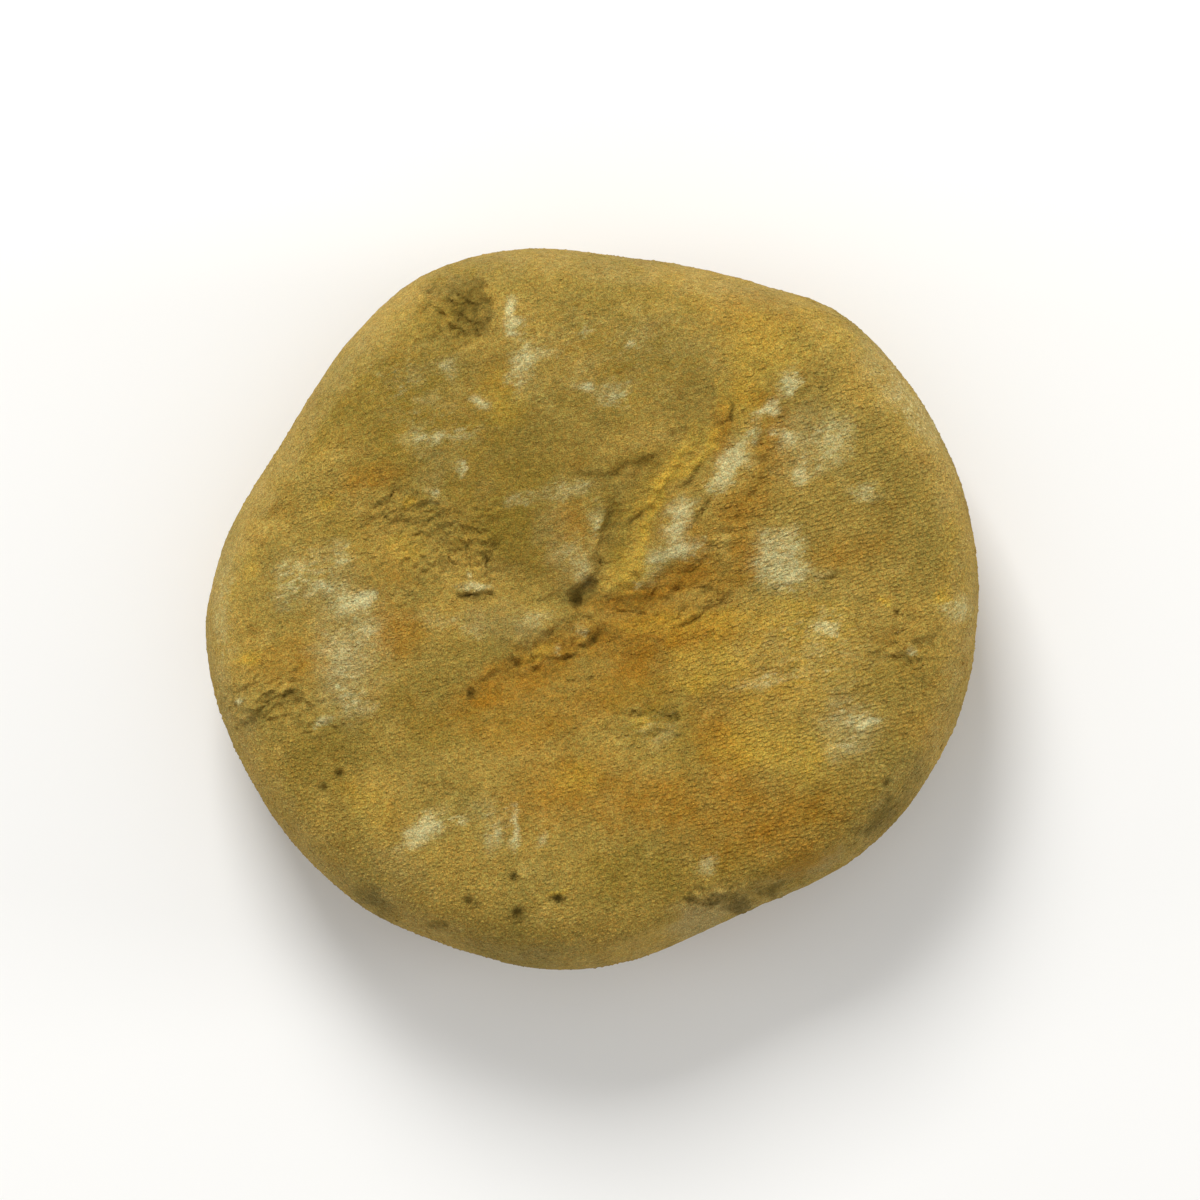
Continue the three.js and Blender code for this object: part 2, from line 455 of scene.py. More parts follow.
@dataclass(frozen=True)
class Profile:
    """Heights of the disc's mouth side, margin and crown before any relief."""

    outline: Outline = Outline()
    margin_height: float = 9.4
    margin_wave: float = 0.7
    crest_height: float = 19.5
    crest_wave: float = 0.4
    wave_bearing: float = 35.0
    wave_shares: tuple[float, float] = (0.65, 0.35)
    dish_depth: float = 3.2
    crest_reach: float = 0.78
    rest_reach: float = 0.31
    crest_rounding: float = 2.4
    crown_rounding: float = 2.25

    def wave(self, x: Array, y: Array) -> Array:
        """Finds the gentle rise and fall round the disc.

        Args:
            x: Places across the plan.
            y: Places up the plan.

        Returns:
            Shares from -1 to 1.
        """
        bearing = np.arctan2(y, x)
        twofold, threefold = self.wave_shares
        turn = math.radians(self.wave_bearing)
        return twofold * np.cos(2.0 * (bearing - turn)) + threefold * np.cos(3.0 * bearing)

    def reach(self, x: Array, y: Array) -> Array:
        """Returns how far out places lie: 0 in the middle, 1 on the margin."""
        return np.hypot(x, y) / self.outline.radius(np.arctan2(y, x))

    def margin(self, x: Array, y: Array) -> Array:
        """Returns the height of the widest line at each place's bearing."""
        return self.margin_height + self.margin_wave * self.wave(x, y)

    def shoulder(self, reach: Array) -> Array:
        """Returns how far up from the margin the rounded shoulder stands, from 0 to 1."""
        turn = np.clip((reach - self.crest_reach) / (1.0 - self.crest_reach), 0.0, 1.0)
        return (1.0 - turn**self.crest_rounding) ** (1.0 / self.crest_rounding)

    def face(self, x: Array, y: Array, shoulder: Array, relief: Array) -> Array:
        """Finds heights on the mouth side.

        Args:
            x: Places across the plan.
            y: Places up the plan.
            shoulder: How far up the rounded shoulder each place stands.
            relief: Height that grooves, ledges and pits add.

        Returns:
            Heights in millimetres.
        """
        inward = np.minimum(1.0, self.reach(x, y) / self.crest_reach)
        rim = self.crest_height + self.crest_wave * self.wave(x, y) * inward**2
        dish = 0.5 * self.dish_depth * (1.0 + np.cos(math.pi * inward))
        margin = self.margin(x, y)
        return margin + (rim - dish + relief - margin) * shoulder

    def crown_turn(self, reach: Array) -> Array:
        """Returns the share of the way from the worn flat (0) to the margin (1)."""
        return np.clip((reach - self.rest_reach) / (1.0 - self.rest_reach), 0.0, 1.0)

    def crown(self, x: Array, y: Array, bulge: Array, sunk: Array) -> Array:
        """Finds heights on the crown below.

        Args:
            x: Places across the plan.
            y: Places up the plan.
            bulge: How far the crown bulges down from the margin, from 0 to 1.
            sunk: How far petals sink into the crown.

        Returns:
            Heights in millimetres.
        """
        return self.margin(x, y) * (1.0 - bulge) + sunk


@dataclass(frozen=True)
class FaceRelief:
    """Grooves, ridges, ledges, cracks and hollows of the mouth side, in millimetres.

    Attributes:
        grooves: Food grooves from the mouth to the margin.
        swells: Narrow swells and troughs.
        steps: Ledges where a crust or a lobe breaks off.
        cracks: Cracks.
        hollows: The mouth and the chip near the upper left.
        pits: Small round pits.
        sway: How far the lines stray from their routes in long bends.
        sway_length: Length of those bends.
        jag: How far the lines stray in short bends.
        jag_length: Length of those bends.
        strengths: Least, usual and greatest share of their height that ridges and ledges have.
        strength_swing: How strongly that share varies along them.
        strength_length: Over what length it varies.
        seed: First of five seeds of the straying and the strength.
    """

    grooves: tuple[Groove, ...] = tuple(
        Groove(Route(points))
        for points in (
            ((0.8, 3.0), (4.2, 9.0), (9.0, 15.0), (13.5, 20.0), (19.0, 27.0)),
            ((2.5, 0.6), (8.0, 2.0), (13.5, 2.2), (24.0, 3.2), (35.0, 2.0)),
            ((1.0, -3.5), (6.5, -7.5), (12.4, -12.0), (14.5, -18.0), (16.0, -27.0)),
            ((-2.2, -2.6), (-7.0, -6.6), (-12.0, -9.6), (-20.0, -14.0), (-29.0, -19.0)),
            ((-3.2, 1.0), (-10.0, 3.2), (-17.0, 6.5), (-24.0, 9.0), (-33.0, 11.0)),
        )
    )
    swells: tuple[Ridge, ...] = ridges(
        (0.9, 0.45, ((-0.2, -1.4), (-1.6, -2.8), (-3.3, -4.2), (-5.0, -5.0), (-7.0, -5.4))),
        (0.9, 0.6, ((8.4, -0.4), (10.4, 0.9), (12.0, 1.9))),
        (0.4, 0.4, ((4.7, 4.0), (5.0, 6.5), (5.6, 8.8), (6.2, 10.5), (7.0, 12.4), (8.3, 14.3), (9.6, 15.8))),
        (0.4, 0.3, ((6.2, 10.5), (6.9, 11.8), (8.8, 13.4), (10.4, 14.4), (11.6, 15.9), (12.3, 17.4))),
        (1.5, -0.4, ((3.0, 0.8), (9.8, 3.2), (14.8, 9.0), (17.3, 16.0))),
        (0.5, 0.25, ((-12.5, 2.0), (-11.6, 2.2), (-11.0, 2.0))),
        (0.5, 0.45, ((-27.2, -11.4), (-25.8, -11.1))),
        (0.4, 0.4, ((31.3, -4.1), (32.0, -4.3))),
    )
    steps: tuple[Ledge, ...] = ledges(
        (0.7, 1.6, ((0.5, 3.0), (0.3, 5.0), (0.8, 7.2), (1.4, 9.2), (2.0, 11.2))),
        (0.6, 1.6, ((-2.2, 13.6), (0.2, 13.3), (2.5, 13.8), (4.2, 14.8), (5.5, 15.3), (7.4, 15.5))),
        (0.4, 1.0, ((7.2, 16.8), (8.4, 17.7), (9.8, 18.5))),
        (0.5, 1.0, ((8.6, 11.7), (9.6, 13.0), (10.8, 14.3))),
        (0.6, 2.0, ((-12.0, -8.0), (-8.2, -5.4), (-6.4, -4.0), (-3.0, -1.5))),
        (0.8, 1.6, ((-7.0, -6.2), (-5.6, -5.8), (-2.9, -4.9), (-1.5, -4.1), (0.0, -3.2), (1.0, -2.0))),
        (0.5, 1.0, ((-2.7, -7.1), (-0.8, -6.8), (1.0, -6.6))),
        (0.5, 0.8, ((-5.2, -6.6), (-4.4, -6.5), (-3.4, -6.2))),
        (0.5, 1.2, ((0.9, -0.4), (2.4, -0.2), (4.4, -0.2), (5.6, -0.7), (6.9, -0.1))),
        (0.7, 1.4, ((7.8, -2.0), (9.5, -1.2), (11.0, -0.2), (12.4, 0.5), (13.8, 1.9))),
        (0.5, 1.2, ((5.6, 1.5), (7.2, 1.8), (9.9, 2.3), (12.2, 2.0))),
        (0.2, 0.9, ((0.8, 4.1), (1.8, 4.6), (3.3, 5.1))),
        (0.4, 0.8, ((4.4, -10.8), (5.8, -10.2), (7.4, -10.7))),
        (0.4, 0.8, ((5.0, -12.8), (6.8, -12.1), (8.4, -12.5))),
        (0.6, 0.9, ((2.9, 8.6), (4.4, 9.3), (6.1, 10.0))),
        (0.6, 0.8, ((-5.6, 0.3), (-4.6, 1.0), (-3.5, 1.9))),
        (0.3, 1.5, ((15.0, 1.7), (20.0, 2.5), (25.2, 3.6))),
        (0.6, 1.2, ((-13.8, 1.4), (-12.2, 1.5), (-10.8, 1.5), (-9.4, 1.8))),
        (0.9, 1.8, ((-10.6, 2.2), (-10.7, 4.4), (-10.3, 5.7), (-9.0, 6.6))),
        (0.7, 1.0, ((-22.0, 10.0), (-21.0, 10.4), (-20.2, 11.0), (-19.6, 12.0))),
        (0.5, 1.0, ((-22.6, 8.9), (-21.0, 9.2), (-19.6, 9.2), (-18.3, 10.2))),
        (0.7, 0.9, ((-17.2, 10.2), (-16.3, 10.6), (-15.2, 11.0))),
        (0.6, 0.9, ((-15.5, 4.0), (-14.7, 4.4), (-13.4, 4.7))),
        (0.5, 0.8, ((-17.2, 4.1), (-16.5, 4.4), (-15.8, 4.7))),
        (0.7, 1.8, (
            (-35.4, -12.0), (-34.0, -10.6), (-32.8, -9.7), (-31.0, -8.4), (-29.2, -8.3), (-27.4, -9.7))),
        (0.7, 0.9, ((31.2, -4.6), (32.0, -3.8), (33.0, -2.8), (34.6, -1.8))),
        (0.6, 0.8, ((30.0, -5.0), (30.8, -4.6), (31.6, -4.5))),
        (0.5, 0.9, ((31.0, -5.6), (32.3, -5.1), (33.6, -4.9))),
        (0.3, 0.9, ((23.4, 3.0), (24.3, 3.5), (25.4, 4.0))),
        (0.9, 0.9, ((-16.0, 30.6), (-14.8, 29.2), (-13.6, 28.0), (-12.4, 26.8))),
        (0.9, 0.8, ((-15.0, 31.6), (-13.8, 30.2), (-12.6, 29.0), (-11.4, 27.4), (-10.8, 26.6))),
        (0.6, 0.8, ((-13.8, 32.0), (-12.6, 30.8), (-11.6, 29.6))),
        (0.7, 0.8, ((-15.8, 28.4), (-14.8, 27.4), (-13.6, 26.4))),
        (0.7, 0.9, ((-10.2, 26.8), (-10.1, 28.6), (-10.2, 30.4), (-10.6, 32.2))),
        (0.5, 1.5, ((9.0, -28.6), (10.4, -29.0), (12.5, -28.9), (14.4, -28.6))),
        (0.5, 1.0, ((16.2, -28.4), (17.6, -28.1), (19.0, -28.0))),
    )
    cracks: tuple[Ridge, ...] = ridges(
        (0.25, -0.20, ((13.8, 20.5), (13.8, 19.6), (13.6, 18.6))),
        (0.30, -0.15, ((13.4, 18.5), (13.5, 15.6))),
        (0.32, -0.50, ((11.8, 10.8), (11.0, 9.5), (10.4, 8.8))),
        (0.25, -0.20, ((10.4, 8.8), (9.5, 7.7))),
        (0.35, -0.35, ((7.1, -10.9), (7.8, -10.9), (8.6, -11.0))),
        (0.30, -0.35, ((-8.3, -5.2), (-7.9, -5.4))),
        (0.25, -0.30, ((-13.2, 1.2), (-11.6, 1.2), (-9.9, 1.4))),
        (0.50, -0.40, ((-10.9, 31.8), (-10.4, 30.4), (-10.3, 29.0), (-10.8, 28.0))),
    )
    hollows: tuple[Scoop, ...] = (
        Scoop(Spot(-0.8, 1.5, 4.2, 2.4, 34), 1.1),
        Scoop(Spot(-1.3, 1.1, 2.2, 1.2, 34), 1.3),
        Scoop(Spot(-12.3, 29.7, 8.4, 4.4, 94), 1.4),
        Scoop(Spot(-14.4, 30.6, 4.8, 4.6, 40), 1.1),
        Scoop(Spot(-12.3, 27.3, 3.6, 3.0, 60), 0.7),
    )
    pits: tuple[Scoop, ...] = round_pits(
        (-7.7, -26.7, 0.5), (-3.4, -28.9, 0.6), (-7.4, -30.2, 0.55), (-12.2, -29, 0.55), (-12.1, -8.4, 0.5),
        (-25, -16.4, 0.5), (-26.5, -17.8, 0.45), (30.2, -0.5, 0.4), (4.2, -10.4, 0.4), (29.2, -17.4, 0.45),
        (-8, -5.3, 0.35), (-17.3, 26.4, 0.4),
    )
    sway: float = 0.16
    sway_length: float = 3.4
    jag: float = 0.05
    jag_length: float = 0.9
    strengths: tuple[float, float, float] = (0.1, 0.6, 1.2)
    strength_swing: float = 0.35
    strength_length: float = 1.7
    seed: int = 11

    def strayed(self, start: Array, x: Array, y: Array, seed: int) -> Array:
        """Strays places in long and short bends, one way at a time.

        Args:
            start: Places across or up the plan, which stray.
            x: Places across the plan.
            y: Places up the plan.
            seed: Seed of the long bends; the next one is that of the short bends.

        Returns:
            The strayed places.
        """
        start = start + self.sway * Ripple(self.sway_length, seed).at(x, y)
        return start + self.jag * Ripple(self.jag_length, seed + 1).at(x, y)

    def lift(self, x: Array, y: Array) -> Array:
        """Adds up the relief.

        Args:
            x: Places across the plan.
            y: Places up the plan.

        Returns:
            Height that the relief adds, in millimetres.
        """
        bent_x = self.strayed(x, x, y, self.seed)
        bent_y = self.strayed(y, x, y, self.seed + 2)
        least, usual, most = self.strengths
        swing = self.strength_swing * Ripple(self.strength_length, self.seed + 4).at(x, y)
        uneven = np.clip(usual + swing, least, most)
        total = -np.max([groove.depth(x, y) for groove in self.grooves], axis=0)
        for feature in (*self.swells, *self.steps, *self.cracks):
            total += uneven * feature.lift(bent_x, bent_y)
        total += np.min([hollow.lift(bent_x, bent_y) for hollow in self.hollows], axis=0)
        total += np.min([pit.lift(x, y) for pit in self.pits], axis=0)
        return total


@dataclass(frozen=True)
class Petals:
    """Five petals of the crown, each a shallow leaf between two rows of pores."""

    bearings: tuple[float, ...] = (54.9, 3.3, -59.3, -146.8, 161.6)
    depth: float = 1.5
    width: float = 2.6
    bead_shares: tuple[float, float] = (0.6, 0.4)
    start: float = 6.0
    end: float = 33.0
    fade_in: float = 0.3
    pore_depth: float = 0.3
    pore_width: float = 0.55
    pore_pitch: float = 1.1

    def sunk(self, x: Array, y: Array, turn: Array) -> Array:
        """Finds how far the petals sink into the crown.

        Args:
            x: Places across the plan.
            y: Places up the plan.
            turn: Share of the way from the worn flat (0) to the margin (1).

        Returns:
            Depths in millimetres.
        """
        out = np.hypot(x, y)
        half_length = 0.5 * (self.end - self.start)
        along = (out - 0.5 * (self.start + self.end)) / half_length
        leaf = np.zeros_like(x)
        pores = np.zeros_like(x)
        for bearing in np.radians(self.bearings):
            gap = np.abs(y * math.cos(bearing) - x * math.sin(bearing))
            ahead = x * math.cos(bearing) + y * math.sin(bearing) > 0.0
            edge = self.width * np.sqrt(np.clip(1.0 - along**2, 0.0, 1.0))
            beads = self.bead_shares[0] + self.bead_shares[1] * np.cos(math.tau * out / self.pore_pitch)
            leaf = np.maximum(leaf, np.where(ahead, bell(gap, self.width), 0.0))
            pores = np.maximum(pores, np.where(ahead, beads * bell(gap - edge, self.pore_width), 0.0))
        shape = self.depth * leaf * bell(along, 1.0) + self.pore_depth * pores * (np.abs(along) < 1.0)
        return shape * smooth_step(turn, 0.0, self.fade_in) * (1.0 - turn)


@dataclass(frozen=True)
class Break:
    """Flat break along the lower-right margin."""

    bearing: float = -65.7
    lean: float = 22.6
    distance: float = 34.6

    def press(self, places: Array, height: float) -> tuple[Array, Array]:
        """Presses points that lie outside the break back onto it.

        Args:
            places: Rows of x, y and z in millimetres.
            height: Height at which the break is the given distance out.

        Returns:
            The pressed points, and how far each was pressed.
        """
        turn = math.radians(self.bearing)
        outward = np.array([math.cos(turn), math.sin(turn), math.tan(math.radians(self.lean))])
        outward /= np.linalg.norm(outward)
        foot = np.array([self.distance * math.cos(turn), self.distance * math.sin(turn), height])
        excess = np.maximum((places - foot) @ outward, 0.0)
        return places - excess[:, None] * outward, excess


@dataclass(frozen=True)
class Lattice:
    """Six-sided patch of corners in rings round a middle.

    Attributes:
        rings: Rings round the middle; ring k has six times k corners.
    """

    rings: int

    def corners(self) -> tuple[Array, Array, Array]:
        """Counts out the corners from the middle outwards.

        Returns:
            Each corner's two lattice steps and its ring.
        """
        ways = np.array([(1, 0), (0, 1), (-1, 1), (-1, 0), (0, -1), (1, -1)])
        steps = [np.zeros((1, 2), int)]
        ring_of = [np.zeros(1, int)]
        for ring in range(1, self.rings + 1):
            index = np.arange(6 * ring)
            side = index // ring
            steps.append(ring * ways[side] + (index % ring)[:, None] * ways[(side + 2) % 6])
            ring_of.append(np.full(6 * ring, ring))
        both = np.concatenate(steps)
        return both[:, 0], both[:, 1], np.concatenate(ring_of)

    @staticmethod
    def start(ring: int) -> int:
        """Returns the number of the first corner of a ring."""
        return 1 + 3 * ring * (ring - 1) if ring else 0

    def triangles(self) -> Array:
        """Fills the rings with triangles.

        Returns:
            Rows of three corner numbers, turning anticlockwise seen from above.
        """
        rows = []
        for ring in range(1, self.rings + 1):
            side, step = np.divmod(np.arange(6 * ring), ring)
            inner_count = max(6 * (ring - 1), 1)
            outer = self.start(ring) + np.arange(6 * ring)
            outer_next = self.start(ring) + (np.arange(6 * ring) + 1) % (6 * ring)
            inner = self.start(ring - 1) + (side * (ring - 1) + step) % inner_count
            inner_next = self.start(ring - 1) + (side * (ring - 1) + step + 1) % inner_count
            rows.append(np.stack([inner, outer, outer_next], axis=1))
            fill = step < ring - 1
            rows.append(np.stack([inner, outer_next, inner_next], axis=1)[fill])
        return np.concatenate(rows)


@dataclass(frozen=True)
class StoneColours:
    """Colours of the stone, as they look in even light, and how rough it is."""

    tan: str = "A3853F"
    sage: str = "8F7839"
    umber: str = "7E5A1A"
    straw: str = "BBA058"
    ochre: str = "986610"
    yellow: str = "C29C38"
    olive: str = "7C6520"
    # Olive of stains and of painted shade
    grey: str = "A08C5E"
    chalk: str = "CFC696"
    grime: str = "443812"
    # Dark colour of grime and of painted shadows
    warm: str = "FFF4E4"
    cool: str = "F0FEFA"
    roughness: float = 0.9
    roughness_spread: float = 0.1
    specular: float = 0.06


def tone(code: str) -> tuple[float, float, float, float]:
    """Turns a colour code into the numbers that a shader takes.

    Args:
        code: Six hexadecimal digits, red first.

    Returns:
        Red, green, blue and alpha in linear light.
    """
    shares = [int(code[start:start + 2], 16) / 255.0 for start in (0, 2, 4)]
    linear = [s / 12.92 if s <= 0.04045 else ((s + 0.055) / 1.055) ** 2.4 for s in shares]
    return linear[0], linear[1], linear[2], 1.0


class Wiring:
    """Places nodes in a tree and links them up."""

    def __init__(self, tree: bpy.types.NodeTree) -> None:
        """Takes the tree to work in."""
        self.tree = tree

    def add(self, kind: str, feeds: dict[Any, Any] | None = None, **settings: Any) -> bpy.types.Node:
        """Places a node.

        Args:
            kind: The node's kind.
            feeds: Sockets or plain values for its inputs, by the input's name or number.
            settings: The node's own settings by name.

        Returns:
            The new node.
        """
        node = self.tree.nodes.new(kind)
        for name, value in settings.items():
            setattr(node, name, value)
        for socket, value in (feeds or {}).items():
            self.feed(node.inputs[socket], value)
        return node

    def feed(self, socket: bpy.types.NodeSocket, value: Any) -> None:
        """Links a socket to another, or sets its plain value.

        Args:
            socket: The input to feed.
            value: A socket to link, or a plain value.
        """
        if isinstance(value, bpy.types.NodeSocket):
            self.tree.links.new(value, socket)
        else:
            socket.default_value = value

    def math(self, operation: str, *values: Any, clamp: bool = False) -> bpy.types.NodeSocket:
        """Does a sum on sockets or plain numbers.

        Args:
            operation: The kind of sum.
            values: What it is done on.
            clamp: Whether the result is kept from 0 to 1.

        Returns:
            The result.
        """
        node = self.add("ShaderNodeMath", dict(enumerate(values)), operation=operation, use_clamp=clamp)
        return node.outputs[0]

    def noise(
            self, vector: Any, scale: Any, detail: float, roughness: float,
            seed: Any) -> bpy.types.NodeSocket:
        """Places seeded noise.

        Args:
            vector: Where it is read.
            scale: Lumps in a metre.
            detail: How many finer layers it has.
            roughness: How strong the finer layers are.
            seed: Which of the many like patterns it is.

        Returns:
            The noise's value, about 0.5 on average.
        """
        feeds = {"Vector": vector, "W": seed, "Scale": scale, "Detail": detail, "Roughness": roughness}
        return self.add("ShaderNodeTexNoise", feeds, noise_dimensions="4D").outputs[0]

    def ease(self, value: Any, low: Any, high: Any, start: Any = 0.0, end: Any = 1.0) -> bpy.types.NodeSocket:
        """Returns a value eased from start at low to end at high."""
        feeds = dict(enumerate((value, low, high, start, end)))
        return self.add("ShaderNodeMapRange", feeds, interpolation_type="SMOOTHSTEP").outputs[0]

    def blend(self, factor: Any, under: Any, over: Any, mode: str = "MIX") -> bpy.types.NodeSocket:
        """Blends two colours.

        Args:
            factor: How much of the second colour shows.
            under: The first colour.
            over: The second colour.
            mode: The way of blending.

        Returns:
            The blended colour.
        """
        node = self.add("ShaderNodeMix", {0: factor}, data_type="RGBA", blend_type=mode)
        colours = [socket for socket in node.inputs if socket.type == "RGBA"]
        self.feed(colours[0], under)
        self.feed(colours[1], over)
        return next(socket for socket in node.outputs if socket.type == "RGBA")

    def group(self, tree: bpy.types.NodeTree, **values: Any) -> bpy.types.Node:
        """Returns a placed node group with its inputs fed by name."""
        return self.add("ShaderNodeGroup", values, node_tree=tree)


Sockets = tuple[tuple[str, str], ...]
Group = tuple[bpy.types.NodeTree, Wiring, bpy.types.Node, bpy.types.Node]


def new_group(name: str, kind: str, inputs: Sockets, outputs: Sockets) -> Group:
    """Makes an empty node group.

    Args:
        name: The group's name.
        kind: Which kind of tree it is.
        inputs: Name and socket kind of each input.
        outputs: Name and socket kind of each output.

    Returns:
        The tree, its wiring, its input node and its output node.
    """
    tree = bpy.data.node_groups.new(name, kind)
    for label, socket in inputs:
        tree.interface.new_socket(label, in_out="INPUT", socket_type=socket)
    for label, socket in outputs:
        tree.interface.new_socket(label, in_out="OUTPUT", socket_type=socket)
    wiring = Wiring(tree)
    return tree, wiring, wiring.add("NodeGroupInput"), wiring.add("NodeGroupOutput")


def streaky(wiring: Wiring, vector: Any) -> bpy.types.NodeSocket:
    """Turns and squeezes places, so that noise read there runs in streaks rising to the right.

    Args:
        wiring: The tree's wiring.
        vector: Places to turn.

    Returns:
        The turned and squeezed places.
    """
    turned = wiring.add(
        "ShaderNodeVectorRotate", {"Vector": vector, "Angle": -STREAK_BEARING}, rotation_type="Z_AXIS")
    feeds = {0: turned.outputs[0], 1: (STREAK_SQUEEZE, 1.0, 1.0)}
    return wiring.add("ShaderNodeVectorMath", feeds, operation="MULTIPLY").outputs[0]


def patchy_group() -> bpy.types.NodeTree:
    """Makes the effect that breaks a soft cover into ragged, mottled patches.

    Returns:
        A shader group with cover, lump size, raggedness, softness and seed as inputs and a mask as output.
    """
    names = "Cover", "Scale", "Ragged", "Soft", "Seed"
    inputs = ("Vector", "NodeSocketVector"), *((name, "NodeSocketFloat") for name in names)
    outputs = (("Mask", "NodeSocketFloat"),)
    tree, wiring, given, result = new_group("patchy cover", "ShaderNodeTree", inputs, outputs)
    cover = given.outputs["Cover"]
    lumps = wiring.noise(given.outputs["Vector"], given.outputs["Scale"], 8.0, 0.74, given.outputs["Seed"])
    swing = wiring.math("MULTIPLY_ADD", wiring.math("SUBTRACT", lumps, 0.5), given.outputs["Ragged"], cover)
    low = wiring.math("SUBTRACT", 0.5, given.outputs["Soft"])
    high = wiring.math("ADD", 0.5, given.outputs["Soft"])
    mask = wiring.math("MULTIPLY", wiring.ease(swing, low, high), wiring.ease(cover, 0.0, 0.25))
    wiring.feed(result.inputs["Mask"], mask)
    return tree


def grain_group() -> bpy.types.NodeTree:
    """Makes the fine grain that stone and floor share.

    Returns:
        A shader group with a scale and a seed as inputs, and coarse grain, fine grain and dust as outputs.
    """
    inputs = ("Vector", "NodeSocketVector"), ("Scale", "NodeSocketFloat"), ("Seed", "NodeSocketFloat")
    outputs = tuple((name, "NodeSocketFloat") for name in ("Coarse", "Fine", "Dust"))
    tree, wiring, given, result = new_group("stone grain", "ShaderNodeTree", inputs, outputs)
    place = given.outputs["Vector"]
    streaked = streaky(wiring, place)
    layers = (
        ("Coarse", streaked, 1.0, 3.0, 0.55),
        ("Fine", streaked, 2.6, 3.0, 0.65),
        ("Dust", place, 5.0, 2.0, 0.6),
    )
    for name, vector, finer, detail, roughness in layers:
        scale = wiring.math("MULTIPLY", given.outputs["Scale"], finer)
        speckle = wiring.noise(vector, scale, detail, roughness, given.outputs["Seed"])
        wiring.feed(result.inputs[name], speckle)
    return tree


Masks = dict[Mask, bpy.types.NodeSocket]
Shades = tuple[float, float]


@dataclass(frozen=True)
class Clouds:
    """Soft clouds of one colour over another.

    Attributes:
        scale: Clouds in a metre.
        seed: Seed of their noise.
        low: Noise where they begin.
        high: Noise where they are fullest.
        most: How strongly they cover there.
        roughness: How strong their finer layers are.
        detail: How many finer layers they have.
    """

    scale: float
    seed: float
    low: float
    high: float
    most: float = 1.0
    roughness: float = 0.68
    detail: float = 6.0

    def cover(self, wiring: Wiring, place: Any) -> bpy.types.NodeSocket:
        """Returns how much the clouds cover places."""
        noise = wiring.noise(place, self.scale, self.detail, self.roughness, self.seed)
        return wiring.ease(noise, self.low, self.high, 0.0, self.most)


@dataclass(frozen=True)
class Patches:
    """Ragged patches of one colour over another.

    Attributes:
        scale: Lumps in a metre.
        seed: Seed of their noise.
        most: How strongly they cover at most.
        ragged: How ragged they are.
        soft: How soft their edges are.
    """

    scale: float
    seed: float
    most: float = 0.75
    ragged: float = 1.5
    soft: float = 0.6

    def cover(self, wiring: Wiring, tree: bpy.types.NodeTree, place: Any, mask: Any) -> bpy.types.NodeSocket:
        """Breaks a soft mask into patches.

        Args:
            wiring: The material's wiring.
            tree: Effect that breaks it.
            place: Where the patches are read.
            mask: The soft mask.

        Returns:
            How much the patches cover places.
        """
        patch = wiring.group(
            tree, Vector=place, Cover=mask, Scale=self.scale, Ragged=self.ragged,
            Soft=self.soft, Seed=self.seed)
        return wiring.math("MULTIPLY", patch.outputs[0], self.most)


